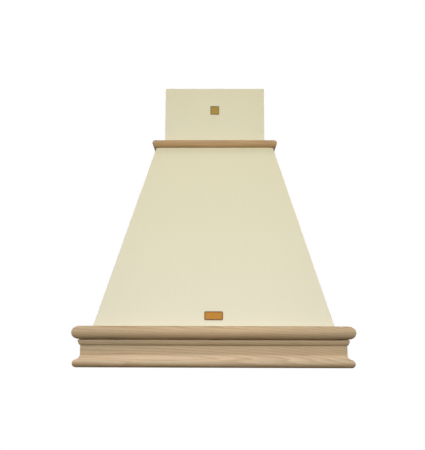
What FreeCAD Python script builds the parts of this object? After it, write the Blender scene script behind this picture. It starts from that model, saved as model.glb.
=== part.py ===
import FreeCAD, Part
import math
import os
import Sketcher
from collections import namedtuple
from types import SimpleNamespace

# Wall-mounted wooden range hood cover with the extractor works it carries.
#
# Millimetres, +Z up. The origin is on the wall plane, on the centre line, level with the
# underside of the moulded base frame. The room side faces -Y, and +X is right seen from there.

# Every size that can be set by itself, in millimetres, degrees or counts.
SIZES = {
    # overall envelope of the moulded base frame, and the rise of the painted dome above it
    "FrameWidth": 600,
    "FrameDepth": 500,
    "DomeRise": 459.5,
    # moulded base frame, from the top edge down
    "RailDepth": 60,
    "BullnoseRadius": 13.75,
    "QuirkDepth": 0.6,
    "QuirkRise": 1.5,
    "OvoloSetback": 11.6,
    "OvoloFoot": 15,
    "OvoloRise": 11,
    "OvoloRadius": 19.5,
    "FasciaSetback": 16.4,
    "FasciaRise": 20,
    "CoveRise": 9.5,
    "NoseSetback": 2.9,
    "NoseRadius": 8.5,
    "BackRailThick": 18,
    "CornerBlockLeg": 46,
    # painted dome
    "DomeSetback": 38,
    "DomeShoulder": 20,
    "PanelThick": 10,
    "BattenSize": 20,
    "CleatReach": 21,
    "CleatRise": 18,
    "CleatInset": 45,
    "TopBoardThick": 16,
    "StileWidth": 25,
    "StileThick": 18,
    "HangingRailRise": 60,
    "HangingRailDrop": 30,
    "WallHoleSpacing": 180,
    "WallHoleRadius": 4,
    # bullnose collar and chimney
    "CollarRise": 20,
    "CollarOverhang": 30,
    "CollarWidth": 60,
    "ChimneyWidth": 263.5,
    "ChimneyDepth": 250,
    "ChimneyRise": 150.5,
    "ChimneyBatten": 18,
    "ChimneyTieRise": 50,
    "ChimneyTieDrop": 12,
    # bare brass plates
    "PlateWidth": 41,
    "PlateRise": 20,
    "PlateCorner": 2.5,
    "PlateRim": 1.8,
    "PlateHeight": 108.6,
    "BadgeSide": 22.9,
    "BadgeHeight": 655.4,
    "BadgeCorner": 1,
    "BadgeRim": 2,
    "BrassThick": 2,
    "BrassFloor": 1.2,
    # ledgers and the pressed steel tray
    "LedgerSize": 18,
    "LedgerHeight": 38,
    "TrayGap": 1,
    "TraySheet": 1.2,
    "TrayRise": 14,
    "TrayMargin": 3,
    "TrayDraft": 5,
    "FrontZone": 74,
    "ScrewHeadRadius": 4,
    "ScrewHeadRise": 2.4,
    "ScrewRadius": 1.75,
    "ScrewLength": 13,
    "ScrewHoleGap": 0.1,
    # grease filters and their latches
    "FilterThick": 9,
    "FilterGap": 0.5,
    "FilterSpacing": 6,
    "FilterSideGap": 3.5,
    "FilterRearGap": 4,
    "FilterBorder": 20,
    "FilterLap": 8,
    "MeshThick": 5,
    "SlotLength": 72,
    "SlotWidth": 6,
    "SlotPitchAcross": 79,
    "SlotPitchAlong": 14,
    "SlotMargin": 4,
    "HingePinRadius": 2,
    "HingePinGap": 0.3,
    "EarThick": 1.5,
    "EarReach": 10,
    "LatchWidth": 31,
    "LatchLength": 10,
    "LatchThick": 3,
    "LatchTravel": 6,
    "LatchNose": 2,
    "LatchLip": 3,
    "LatchTongue": 2,
    "SlideGap": 0.3,
    # lamps
    "LampInset": 62.8,
    "LampRadius": 33,
    "LampLensRadius": 25,
    "LampCanRadius": 27,
    "LampCanRise": 24,
    "BezelThick": 2.5,
    "BezelChamfer": 1.5,
    "LensChamfer": 1,
    # push-button control
    "ControlWidth": 112,
    "ControlDepth": 36,
    "ButtonSide": 12,
    "ButtonPitch": 20,
    "ButtonGap": 0.4,
    "ButtonProud": 2.8,
    "ButtonRise": 6.5,
    "ButtonTravel": 2.5,
    "SwitchRise": 24,
    "WellGap": 1.3,
    # fan: scroll, impeller and motor
    "ScrollRadius": 95,
    "ScrollStep": 12,
    "ScrollWall": 2,
    "ScrollWidth": 120,
    "ThroatNear": 47.5,
    "ThroatRise": 130,
    "InletRadius": 70,
    "InletLip": 8,
    "InletShell": 2,
    "ImpellerRadius": 82,
    "ImpellerWidth": 106,
    "BladeChord": 15,
    "BladeThick": 1.4,
    "BladeCount": 24,
    "ImpellerRing": 3,
    "HubRadius": 14,
    "HubLength": 16,
    "DiscThick": 4,
    "ShaftRadius": 4,
    "ShaftGap": 0.05,
    "MotorRadius": 42,
    "MotorLength": 42,
    "MotorStandoff": 6,
    "MotorChamfer": 6,
    "ShaftInMotor": 20,
    "ShaftProud": 2,
    "SpiderArmCount": 3,
    "SpiderArm": 12,
    "SpiderReach": 90,
    "SpiderSheet": 2,
    "SpiderFoot": 8,
    "SpiderGap": 2,
    "SpiderDisc": 22,
    # rectangular to round transition, hanger plate and duct collar
    "TransitionRise": 84,
    "FlangeReach": 10,
    "FlangeThick": 2,
    "DuctRadius": 75,
    "DuctWall": 2,
    "CollarFlangeRadius": 92,
    "CollarFlangeThick": 2.5,
    "OutletHoleGap": 3,
    "BeadProud": 1.2,
    "BeadRise": 4,
    "BeadLift": 2,
    "DuctReach": 40,
    "HangerThick": 2,
    "HangerMargin": 3,
    "HangerScrewInset": 12,
    "FlangeScrewCircle": 84,
    # backdraught flaps
    "FlapHeight": 12,
    "FlapAxisOffset": 4,
    "FlapRodRadius": 1.5,
    "FlapBore": 1.8,
    "FlapBarrel": 3.2,
    "FlapBarrelInset": 8,
    "FlapThick": 1.5,
    "FlapGap": 1.5,
    "SeatWidth": 2.5,
    "SeatRise": 1.5,
    "SeatGap": 0.25,
    # mains terminal box, and the gland through the top board
    "BoxLength": 84,
    "BoxDepth": 30,
    "BoxRise": 27,
    "BoxRound": 3,
    "BoxInset": 46,
    "LidThick": 3,
    "GlandRadius": 8,
    "GlandBore": 4,
    "GlandCapRadius": 11,
    "GlandCapRise": 12,
    "GlandChamfer": 3,
    "GlandTail": 2,
    "GlandHoleGap": 0.3,
    "GlandSideInset": 30,
    "GlandBackInset": 15,
    "LocknutRadius": 11,
    "LocknutRise": 5,
    "LocknutGap": 0.15,
    # how far a cut reaches past the face that it leaves through
    "CutMargin": 1,
}

CCW = 1
CW = -1

LEAST_CUT = 1e-3
SAME_PLACE = 1e-6

Corner = namedtuple("Corner", "u v centre turn")
Circle = namedtuple("Circle", "u v radius")


def number_of(value):
    return value.number if isinstance(value, Size) else value


def formula_of(value):
    return value.formula if isinstance(value, Size) else repr(value)


class Size:
    """A length that carries its number and the sheet formula that gives it."""

    def __init__(self, formula, number):
        self.formula = formula
        self.number = number

    def joined(self, sign, other, number):
        return Size(f"({self.formula} {sign} {formula_of(other)})", number)

    def __add__(self, other):
        return self.joined("+", other, self.number + number_of(other))

    def __sub__(self, other):
        return self.joined("-", other, self.number - number_of(other))

    def __mul__(self, other):
        return self.joined("*", other, self.number * number_of(other))

    def __truediv__(self, other):
        return self.joined("/", other, self.number / number_of(other))

    def __radd__(self, other):
        return Size(repr(other), other) + self

    def __rsub__(self, other):
        return Size(repr(other), other) - self

    def __rmul__(self, other):
        return Size(repr(other), other) * self

    def __neg__(self):
        return 0 - self


def root(value):
    return Size(f"sqrt({formula_of(value)})", math.sqrt(number_of(value)))


def whole(value):
    return Size(f"floor({formula_of(value)})", math.floor(number_of(value)))


def write_sheet(doc):
    """Put the driving sizes in a sheet and return them as Size values by name."""
    sheet = doc.addObject("Spreadsheet::Sheet", "Sizes")
    for row, (name, number) in enumerate(SIZES.items(), start=1):
        cell = f"A{row}"
        sheet.set(cell, str(number))
        sheet.setAlias(cell, name)
    doc.recompute()
    return SimpleNamespace(**{name: Size(f"Sizes.{name}", number) for name, number in SIZES.items()})


doc = FreeCAD.newDocument("RangeHoodCover")
s = write_sheet(doc)
bodies = []


# ---------------------------------------------------------------- drawing and feature helpers


def at(u, v):
    """A corner that a straight edge leaves."""
    return Corner(u, v, None, 0)


def arc(u, v, centre, turn):
    """A corner that a circular edge leaves, about centre, turning CCW or CW."""
    return Corner(u, v, centre, turn)


def box_loop(low_u, low_v, high_u, high_v):
    return [at(low_u, low_v), at(high_u, low_v), at(high_u, high_v), at(low_u, high_v)]


def new_body(node, x=0, y=0, z=0):
    """An empty body named after its node, placed at x, y, z."""
    body = doc.addObject("PartDesign::Body", node)
    body.Label = node
    body.AllowCompound = True
    for axis, place in zip("xyz", (x, y, z)):
        body.setExpression(f"Placement.Base.{axis}", formula_of(place))
    bodies.append(body)
    return body


def origin_feature(body, role):
    return next(item for item in body.Origin.OriginFeatures if item.Role == role)


def pin_point(sketch, geometry, position, u, v):
    """Tie one point of a sketch to a place given in sheet formulas."""
    for kind, value in (("DistanceX", u), ("DistanceY", v)):
        datum = Sketcher.Constraint(kind, -1, 1, geometry, position, float(number_of(value)))
        index = sketch.addConstraint(datum)
        sketch.setExpression(f"Constraints[{index}]", formula_of(value))


def add_circle(sketch, circle):
    centre = FreeCAD.Vector(number_of(circle.u), number_of(circle.v), 0)
    shape = Part.Circle(centre, FreeCAD.Vector(0, 0, 1), number_of(circle.radius))
    geometry = sketch.addGeometry(shape, False)
    pin_point(sketch, geometry, 3, circle.u, circle.v)
    datum = Sketcher.Constraint("Radius", geometry, float(number_of(circle.radius)))
    index = sketch.addConstraint(datum)
    sketch.setExpression(f"Constraints[{index}]", formula_of(circle.radius))


def circular_edge(start, end, corner):
    """The arc from start to end about the corner's centre."""
    centre = FreeCAD.Vector(number_of(corner.centre[0]), number_of(corner.centre[1]), 0)
    first, last = (start, end) if corner.turn == CCW else (end, start)
    angle_a = math.atan2(first.y - centre.y, first.x - centre.x)
    angle_b = math.atan2(last.y - centre.y, last.x - centre.x)
    circle = Part.Circle(centre, FreeCAD.Vector(0, 0, 1), (first - centre).Length)
    return Part.ArcOfCircle(circle, angle_a, angle_b)


def add_loop(sketch, corners):
    """A closed outline of straight and circular edges, fully dimensioned."""
    points = [FreeCAD.Vector(number_of(c.u), number_of(c.v), 0) for c in corners]
    edges = []
    for index, corner in enumerate(corners):
        start, end = points[index], points[(index + 1) % len(points)]
        if corner.centre is None:
            edges.append((sketch.addGeometry(Part.LineSegment(start, end), False), 1, 2))
        else:
            geometry = sketch.addGeometry(circular_edge(start, end, corner), False)
            edges.append((geometry, 1, 2) if corner.turn == CCW else (geometry, 2, 1))
    for index, (geometry, first, last) in enumerate(edges):
        follower, follower_first, _ = edges[(index + 1) % len(edges)]
        sketch.addConstraint(
            Sketcher.Constraint("Coincident", geometry, last, follower, follower_first)
        )
    for (geometry, first, _), corner in zip(edges, corners):
        pin_point(sketch, geometry, first, corner.u, corner.v)
    for (geometry, _, _), corner, start, end in zip(
        edges, corners, points, points[1:] + points[:1]
    ):
        if corner.centre is None:
            continue
        # the centre slides on the chord's bisector, so one coordinate fixes it
        upright = abs(end.y - start.y) >= abs(end.x - start.x)
        kind, value = ("DistanceX", corner.centre[0]) if upright else ("DistanceY", corner.centre[1])
        datum = Sketcher.Constraint(kind, -1, 1, geometry, 3, float(number_of(value)))
        index = sketch.addConstraint(datum)
        sketch.setExpression(f"Constraints[{index}]", formula_of(value))


def draw(body, role, *loops, offset=0):
    """A sketch on one of the body's own planes, offset along that plane's normal."""
    sketch = body.newObject("Sketcher::SketchObject", body.Name + "_outline")
    sketch.AttachmentSupport = (origin_feature(body, role), [""])
    sketch.MapMode = "FlatFace"
    sketch.setExpression("AttachmentOffset.Base.z", formula_of(offset))
    for loop in loops:
        if isinstance(loop, Circle):
            add_circle(sketch, loop)
        else:
            add_loop(sketch, loop)
    return sketch


def finish(body, feature):
    body.Tip = feature
    doc.recompute()
    return feature


def aim(feature, lean):
    """Point a feature up along a lean, given as its run in X and in Y for each unit of rise."""
    feature.UseCustomVector = True
    feature.AlongSketchNormal = True
    feature.setExpression("Direction.x", formula_of(lean[0]))
    feature.setExpression("Direction.y", formula_of(lean[1]))
    feature.setExpression("Direction.z", "1")


def pad(body, sketch, length, both=False, backwards=False, lean=None):
    feature = body.newObject("PartDesign::Pad", body.Name + "_pad")
    feature.Profile = sketch
    feature.SideType = "Symmetric" if both else "One side"
    feature.Reversed = backwards
    feature.setExpression("Length", formula_of(length))
    if lean is not None:
        aim(feature, lean)
    return finish(body, feature)


def pocket(body, sketch, length=None, backwards=False, lean=None):
    """Cut a sketch out of the body, right through it both ways unless a length is given."""
    before = body.Tip.Shape.Volume
    feature = body.newObject("PartDesign::Pocket", body.Name + "_pocket")
    feature.Profile = sketch
    feature.Reversed = backwards
    if lean is not None:
        aim(feature, lean)
    if length is None:
        feature.Type = "ThroughAll"
        feature.SideType = "Symmetric"
    else:
        feature.setExpression("Length", formula_of(length))
    finish(body, feature)
    if feature.Shape.Volume > before - LEAST_CUT:
        raise RuntimeError(f"{feature.Name} cuts nothing")
    return feature


def loft(body, lower, upper, kind="AdditiveLoft"):
    feature = body.newObject("PartDesign::" + kind, body.Name + "_loft")
    feature.Profile = lower
    feature.Sections = [upper]
    feature.Ruled = True
    return finish(body, feature)


def frustum(body, kind, low, high, low_z, high_z):
    """A tapered block between two levels. low and high are (left, front, right, back) there."""
    feature = body.newObject("PartDesign::" + kind, body.Name + "_frustum")
    feature.AttachmentSupport = (origin_feature(body, "XZ_Plane"), [""])
    feature.MapMode = "FlatFace"
    limits = {"Ymin": low_z, "Ymax": high_z}
    for mark, (left, front_y, right, back_y) in (("", low), ("2", high)):
        limits[f"X{mark}min"] = left
        limits[f"X{mark}max"] = right
        limits[f"Z{mark}min"] = -back_y
        limits[f"Z{mark}max"] = -front_y
    for name, value in limits.items():
        feature.setExpression(name, formula_of(value))
    return finish(body, feature)


def revolve(body, sketch, axis):
    feature = body.newObject("PartDesign::Revolution", body.Name + "_revolution")
    feature.Profile = sketch
    feature.ReferenceAxis = (origin_feature(body, axis), [""])
    feature.Angle = 360
    return finish(body, feature)


def polar(body, original, axis, count):
    feature = body.newObject("PartDesign::PolarPattern", body.Name + "_pattern")
    feature.Originals = [original]
    feature.Axis = (origin_feature(body, axis), [""])
    feature.Angle = 360
    feature.setExpression("Occurrences", formula_of(count))
    return finish(body, feature)


def rows(body, original, across, along):
    """Repeat a feature on a grid. across and along are (axis, pitch, count)."""
    feature = body.newObject("PartDesign::LinearPattern", body.Name + "_grid")
    feature.Originals = [original]
    feature.Mode = "Spacing"
    feature.Direction = (origin_feature(body, across[0]), [""])
    feature.setExpression("Offset", formula_of(across[1]))
    feature.setExpression("Occurrences", formula_of(across[2]))
    feature.Mode2 = "Spacing"
    feature.Direction2 = (origin_feature(body, along[0]), [""])
    feature.setExpression("Offset2", formula_of(along[1]))
    feature.setExpression("Occurrences2", formula_of(along[2]))
    return finish(body, feature)


def fillet(body, picked, radius):
    """Round the body's edges that picked(edge) chooses."""
    base = body.Tip
    names = [f"Edge{i}" for i, edge in enumerate(base.Shape.Edges, start=1) if picked(edge)]
    feature = body.newObject("PartDesign::Fillet", body.Name + "_fillet")
    feature.Base = (base, names)
    feature.setExpression("Radius", formula_of(radius))
    return finish(body, feature)


def upright(edge):
    """Is this edge parallel to the body's Z axis?"""
    ends = edge.Vertexes
    if len(ends) != 2:
        return False
    return math.hypot(ends[0].X - ends[1].X, ends[0].Y - ends[1].Y) < SAME_PLACE


# ---------------------------------------------------------------- places worked out from the sizes

half_width = s.FrameWidth / 2
front = -s.FrameDepth

nose_top = s.NoseRadius * 2
fascia_foot = nose_top + s.CoveRise
fascia_top = fascia_foot + s.FasciaRise
ovolo_top = fascia_top + s.OvoloRise
bullnose_foot = ovolo_top + s.QuirkRise
frame_top = bullnose_foot + s.BullnoseRadius * 2

rail_inner_x = half_width - s.RailDepth
rail_inner_y = front + s.RailDepth

dome_top = frame_top + s.DomeRise
dome_base_half = half_width - s.DomeSetback
dome_base_front = front + s.DomeSetback
dome_top_half = s.ChimneyWidth / 2 + s.DomeShoulder
dome_top_front = -(s.ChimneyDepth + s.DomeShoulder)
side_lean = (dome_base_half - dome_top_half) / s.DomeRise
front_lean = (dome_top_front - dome_base_front) / s.DomeRise
side_run = s.PanelThick * root(1 + side_lean * side_lean)
front_run = s.PanelThick * root(1 + front_lean * front_lean)

board_foot = dome_top - s.TopBoardThick
collar_top = dome_top + s.CollarRise
chimney_top = collar_top + s.ChimneyRise
chimney_half = s.ChimneyWidth / 2
duct_y = -s.ChimneyDepth / 2


def outer_half(height):
    """Half the dome's outer width at a height."""
    return dome_base_half - side_lean * (height - frame_top)


def outer_front(height):
    """The dome's outer front face at a height."""
    return dome_base_front + front_lean * (height - frame_top)


def inner_half(height):
    return outer_half(height) - side_run


def inner_front(height):
    return outer_front(height) + front_run


# ---------------------------------------------------------------- moulded base frame


def rail_profile(outline_place):
    """The moulding's true section. outline_place turns a setback and a height into a corner."""
    bullnose_centre = outline_place(s.BullnoseRadius, frame_top - s.BullnoseRadius)
    ovolo_centre = outline_place(s.OvoloSetback + s.OvoloRadius, ovolo_top)
    nose_setback = s.NoseSetback + s.NoseRadius
    nose_centre = outline_place(nose_setback, s.NoseRadius)
    # the cove leaves the fascia upright and runs tangent into the nose
    run = s.FasciaSetback - nose_setback
    rise = fascia_foot - s.NoseRadius
    cove_radius = (run * run + rise * rise - s.NoseRadius * s.NoseRadius) / ((run + s.NoseRadius) * 2)
    cove_setback = s.FasciaSetback - cove_radius
    cove_centre = outline_place(cove_setback, fascia_foot)
    part_way = s.NoseRadius / (cove_radius + s.NoseRadius)
    meet_setback = nose_setback + (cove_setback - nose_setback) * part_way
    meet_height = s.NoseRadius + rise * part_way
    quirk = s.BullnoseRadius + s.QuirkDepth
    return [
        (s.BullnoseRadius, frame_top, bullnose_centre, CCW),
        (s.BullnoseRadius, bullnose_foot, None, 0),
        (quirk, bullnose_foot, None, 0),
        (quirk, ovolo_top, None, 0),
        (s.OvoloSetback, ovolo_top, ovolo_centre, CCW),
        (s.OvoloFoot, fascia_top, None, 0),
        (s.FasciaSetback, fascia_top, None, 0),
        (s.FasciaSetback, fascia_foot, cove_centre, CW),
        (meet_setback, meet_height, nose_centre, CCW),
        (nose_setback, 0, None, 0),
        (s.RailDepth, 0, None, 0),
        (s.RailDepth, frame_top, None, 0),
    ]


def moulded(place, profile, turn):
    """Corners of a profile drawn in the plane that place maps to."""
    corners = []
    for setback, height, centre, direction in profile:
        u, v = place(setback, height)
        corners.append(Corner(u, v, centre, direction * turn))
    return corners


def mitre_waste(corner_x, corner_y, reach, side, front_piece):
    """The triangle that a 45 degree mitre takes off a front piece or off a side piece."""
    outer_x = side * (corner_x + s.CutMargin)
    outer_y = corner_y - s.CutMargin
    inner_x = side * (corner_x - reach - s.CutMargin)
    inner_y = corner_y + reach + s.CutMargin
    if front_piece:
        return [at(outer_x, outer_y), at(inner_x, inner_y), at(outer_x, inner_y)]
    return [at(outer_x, outer_y), at(inner_x, inner_y), at(inner_x, outer_y)]


def front_moulding(node, profile_of, corner_x, corner_y, reach):
    """A moulding along the front, mitred at both ends."""

    def place(setback, height):
        return corner_y + setback, height

    body = new_body(node)
    section = moulded(place, profile_of(place), CCW)
    pad(body, draw(body, "YZ_Plane", section), corner_x * 2, both=True)
    waste = [mitre_waste(corner_x, corner_y, reach, side, True) for side in (1, -1)]
    pocket(body, draw(body, "XY_Plane", *waste))


def side_moulding(node, profile_of, corner_x, corner_y, reach, side):
    """A moulding along one side, mitred at the front and square at the wall."""

    def place(setback, height):
        return side * (corner_x - setback), height

    body = new_body(node)
    section = moulded(place, profile_of(place), -side)
    pad(body, draw(body, "XZ_Plane", section), -corner_y)
    waste = mitre_waste(corner_x, corner_y, reach, side, False)
    pocket(body, draw(body, "XY_Plane", waste))


def base_frame():
    front_moulding("base_front_rail", rail_profile, half_width, front, s.RailDepth)
    side_moulding("base_left_rail", rail_profile, half_width, front, s.RailDepth, -1)
    side_moulding("base_right_rail", rail_profile, half_width, front, s.RailDepth, 1)
    back = new_body("base_back_rail")
    board = box_loop(-rail_inner_x, -s.BackRailThick, rail_inner_x, 0)
    pad(back, draw(back, "XY_Plane", board), frame_top)
    blocks = new_body("base_corner_blocks")
    corners = []
    for side in (-1, 1):
        corner_x = side * rail_inner_x
        corners.append(
            [
                at(corner_x, rail_inner_y),
                at(side * (rail_inner_x - s.CornerBlockLeg), rail_inner_y),
                at(corner_x, rail_inner_y + s.CornerBlockLeg),
            ]
        )
    block_foot = s.LedgerHeight + s.LedgerSize
    sketch = draw(blocks, "XY_Plane", *corners, offset=block_foot)
    pad(blocks, sketch, frame_top - block_foot)


# ---------------------------------------------------------------- painted dome and its framing


def dome_mitre(side, front_piece):
    """The part of a dome board past its mitre at the foot. It leans with the dome's arris."""
    outer_x, outer_y = dome_base_half + side_run, dome_base_front - front_run
    inner_x, inner_y = inner_half(frame_top) - side_run, inner_front(frame_top) + front_run
    far_x = dome_base_half + side_lean * s.DomeRise + s.CutMargin
    far_y = dome_base_front - front_lean * s.DomeRise - s.CutMargin
    loop = [at(side * outer_x, outer_y), at(side * inner_x, inner_y)]
    if front_piece:
        return loop + [at(side * far_x, inner_y), at(side * far_x, outer_y)]
    return loop + [at(side * inner_x, far_y), at(side * outer_x, far_y)]


def arris_lean(side):
    return -side_lean * side, front_lean


def dome_front():
    """The front board: its leaning section run across the dome, then mitred at both ends."""
    body = new_body("dome_front_panel")
    section = [
        at(outer_front(frame_top), frame_top),
        at(inner_front(frame_top), frame_top),
        at(inner_front(dome_top), dome_top),
        at(outer_front(dome_top), dome_top),
    ]
    pad(body, draw(body, "YZ_Plane", section), dome_base_half * 2, both=True)
    for side in (-1, 1):
        waste = draw(body, "XY_Plane", dome_mitre(side, True), offset=frame_top)
        pocket(body, waste, s.DomeRise, lean=arris_lean(side))


def dome_side(node, side):
    """A side board: its leaning section run out from the wall, then mitred at the front."""
    body = new_body(node)
    section = [
        at(side * outer_half(frame_top), frame_top),
        at(side * inner_half(frame_top), frame_top),
        at(side * inner_half(dome_top), dome_top),
        at(side * outer_half(dome_top), dome_top),
    ]
    pad(body, draw(body, "XZ_Plane", section), -dome_base_front)
    waste = draw(body, "XY_Plane", dome_mitre(side, False), offset=frame_top)
    pocket(body, waste, s.DomeRise, lean=arris_lean(side))


def corner_battens():
    """Square battens that climb the inner corners of the dome."""
    body = new_body("dome_corner_battens")
    near_y = inner_front(frame_top)
    for side in (-1, 1):
        near_x = side * inner_half(frame_top)
        far_x = side * (inner_half(frame_top) - s.BattenSize)
        square = box_loop(near_x, near_y, far_x, near_y + s.BattenSize)
        sketch = draw(body, "XY_Plane", square, offset=frame_top)
        pad(body, sketch, board_foot - frame_top, lean=arris_lean(side))


def stiles():
    """Flat stiles against the wall, inside the side boards and leaning with them."""
    body = new_body("dome_stiles")
    for side in (-1, 1):
        outline = [
            at(side * inner_half(frame_top), frame_top),
            at(side * (inner_half(frame_top) - s.StileWidth), frame_top),
            at(side * (inner_half(board_foot) - s.StileWidth), board_foot),
            at(side * inner_half(board_foot), board_foot),
        ]
        pad(body, draw(body, "XZ_Plane", outline), s.StileThick)


def board_limits(height):
    return -inner_half(height), inner_front(height), inner_half(height), 0


def top_board():
    """The board that closes the dome, its edges planed to the lean of the panels."""
    body = new_body("top_board")
    frustum(
        body, "AdditiveWedge", board_limits(board_foot), board_limits(dome_top), board_foot, dome_top
    )
    hole = Circle(0, duct_y, s.CollarFlangeRadius + s.OutletHoleGap)
    radius = s.ScrewRadius + s.ScrewHoleGap
    screw_circles = [Circle(x, y, radius) for x, y in hanger_screw_places()]
    pocket(body, draw(body, "XY_Plane", hole, gland_hole(), *screw_circles))


def foot_cleats():
    """Battens in the foot of the dome, planed to the lean of the panels that they carry."""
    cleat_top = frame_top + s.CleatRise
    body = new_body("dome_foot_cleats")
    inner_y = inner_front(frame_top) + s.CleatReach
    section = [
        at(inner_front(frame_top), frame_top),
        at(inner_y, frame_top),
        at(inner_y, cleat_top),
        at(inner_front(cleat_top), cleat_top),
    ]
    length = (inner_half(cleat_top) - s.CleatInset) * 2
    pad(body, draw(body, "YZ_Plane", section), length, both=True)
    for side in (-1, 1):
        inner_x = side * (inner_half(frame_top) - s.CleatReach)
        section = [
            at(side * inner_half(frame_top), frame_top),
            at(inner_x, frame_top),
            at(inner_x, cleat_top),
            at(side * inner_half(cleat_top), cleat_top),
        ]
        sketch = draw(body, "XZ_Plane", section, offset=s.CleatInset)
        pad(body, sketch, -inner_front(frame_top) - s.CleatInset * 2)


def hanging_rail():
    """The rail that takes the wall screws, its ends cut to the stiles."""
    high = board_foot - s.HangingRailDrop
    low = high - s.HangingRailRise
    body = new_body("hanging_rail")
    low_half = inner_half(low) - s.StileWidth
    high_half = inner_half(high) - s.StileWidth
    outline = [at(-low_half, low), at(low_half, low), at(high_half, high), at(-high_half, high)]
    pad(body, draw(body, "XZ_Plane", outline), s.StileThick)
    middle = (low + high) / 2
    reach = s.WallHoleSpacing / 2
    holes = [Circle(side * reach, middle, s.WallHoleRadius) for side in (-1, 1)]
    pocket(body, draw(body, "XZ_Plane", *holes))


def dome():
    dome_front()
    dome_side("dome_left_panel", -1)
    dome_side("dome_right_panel", 1)
    corner_battens()
    stiles()
    top_board()
    foot_cleats()
    hanging_rail()


# ---------------------------------------------------------------- collar and chimney


def collar_profile(place):
    radius = s.CollarRise / 2
    return [
        (radius, collar_top, place(radius, dome_top + radius), CCW),
        (radius, dome_top, None, 0),
        (s.CollarWidth, dome_top, None, 0),
        (s.CollarWidth, collar_top, None, 0),
    ]


def collar():
    corner_x = chimney_half + s.CollarOverhang
    corner_y = -(s.ChimneyDepth + s.CollarOverhang)
    front_moulding("collar_front", collar_profile, corner_x, corner_y, s.CollarWidth)
    side_moulding("collar_left", collar_profile, corner_x, corner_y, s.CollarWidth, -1)
    side_moulding("collar_right", collar_profile, corner_x, corner_y, s.CollarWidth, 1)


def chimney():
    front_y = -s.ChimneyDepth
    back_y = front_y + s.PanelThick
    inner_x = chimney_half - s.PanelThick
    panel = new_body("chimney_front_panel")
    outline = [
        at(-chimney_half, front_y),
        at(chimney_half, front_y),
        at(inner_x, back_y),
        at(-inner_x, back_y),
    ]
    pad(panel, draw(panel, "XY_Plane", outline, offset=collar_top), s.ChimneyRise)
    for node, side in (("chimney_left_panel", -1), ("chimney_right_panel", 1)):
        panel = new_body(node)
        outline = [
            at(side * chimney_half, front_y),
            at(side * chimney_half, 0),
            at(side * inner_x, 0),
            at(side * inner_x, back_y),
        ]
        pad(panel, draw(panel, "XY_Plane", outline, offset=collar_top), s.ChimneyRise)
    battens = new_body("chimney_battens")
    loops = []
    for side in (-1, 1):
        far_x = side * (inner_x - s.ChimneyBatten)
        loops.append(box_loop(side * inner_x, back_y, far_x, back_y + s.ChimneyBatten))
        loops.append(box_loop(side * inner_x, -s.ChimneyBatten, far_x, 0))
    pad(battens, draw(battens, "XY_Plane", *loops, offset=collar_top), s.ChimneyRise)
    tie = new_body("chimney_tie")
    tie_top = chimney_top - s.ChimneyTieDrop
    tie_half = inner_x - s.ChimneyBatten
    outline = box_loop(-tie_half, tie_top - s.ChimneyTieRise, tie_half, tie_top)
    pad(tie, draw(tie, "XZ_Plane", outline), s.ChimneyBatten)


# ---------------------------------------------------------------- bare brass plates


def rounded_loop(half_u, half_v, corner):
    """A rectangle about the origin with round corners."""
    inner_u, inner_v = half_u - corner, half_v - corner
    return [
        at(-inner_u, -half_v),
        arc(inner_u, -half_v, (inner_u, -inner_v), CCW),
        at(half_u, -inner_v),
        arc(half_u, inner_v, (inner_u, inner_v), CCW),
        at(inner_u, half_v),
        arc(-inner_u, half_v, (-inner_u, inner_v), CCW),
        at(-half_u, inner_v),
        arc(-half_u, -inner_v, (-inner_u, -inner_v), CCW),
    ]


def rimmed_plate(node, half_u, half_v, corner, rim, y, z, lean=None):
    """A plate with a raised rim round a bare field. Its back is on the face that carries it."""
    body = new_body(node, 0, y, z)
    pad(body, draw(body, "XZ_Plane", rounded_loop(half_u, half_v, corner)), s.BrassThick)
    field = box_loop(rim - half_u, rim - half_v, half_u - rim, half_v - rim)
    sketch = draw(body, "XZ_Plane", field, offset=s.BrassFloor)
    pocket(body, sketch, s.BrassThick, backwards=True)
    if lean is not None:
        body.setExpression("Placement.Rotation.Axis.x", "1")
        body.setExpression("Placement.Rotation.Axis.z", "0")
        body.setExpression("Placement.Rotation.Angle", f"-atan({formula_of(lean)})")
        doc.recompute()


def brass_plates():
    plate_y = outer_front(s.PlateHeight)
    half_u, half_v = s.PlateWidth / 2, s.PlateRise / 2
    rimmed_plate(
        "dome_plate", half_u, half_v, s.PlateCorner, s.PlateRim, plate_y, s.PlateHeight, front_lean
    )
    half = s.BadgeSide / 2
    rimmed_plate(
        "chimney_badge", half, half, s.BadgeCorner, s.BadgeRim, -s.ChimneyDepth, s.BadgeHeight
    )


# ---------------------------------------------------------------- ledgers and tray

tray_rim_x = rail_inner_x - s.TrayGap
tray_rim_front = rail_inner_y + s.TrayGap
tray_rim_back = -(s.BackRailThick + s.TrayGap)
tray_foot = s.LedgerHeight - s.TraySheet
field_top = s.LedgerHeight + s.TrayRise
field_foot = field_top - s.TraySheet

ledger_inner_x = rail_inner_x - s.LedgerSize
ledger_inner_front = rail_inner_y + s.LedgerSize
ledger_inner_back = -(s.BackRailThick + s.LedgerSize)

pan_x = ledger_inner_x - s.TrayMargin
pan_front = ledger_inner_front + s.TrayMargin
pan_back = ledger_inner_back - s.TrayMargin

# clear space under the raised field of the tray
field_x = pan_x - s.TrayDraft - s.TraySheet
field_front = pan_front + s.TrayDraft + s.TraySheet
field_back = pan_back - s.TrayDraft - s.TraySheet

filter_top = field_foot - s.FilterGap
filter_foot = filter_top - s.FilterThick
hinge_z = filter_top - s.FilterThick / 2
hinge_y = field_back - s.FilterRearGap - s.FilterThick / 2
filter_front = field_front + s.FrontZone
filter_near_x = s.FilterSpacing / 2
filter_far_x = field_x - s.FilterSideGap
filter_mid_x = (filter_near_x + filter_far_x) / 2
control_y = field_front + (s.FrontZone - s.LatchNose) / 2


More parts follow.
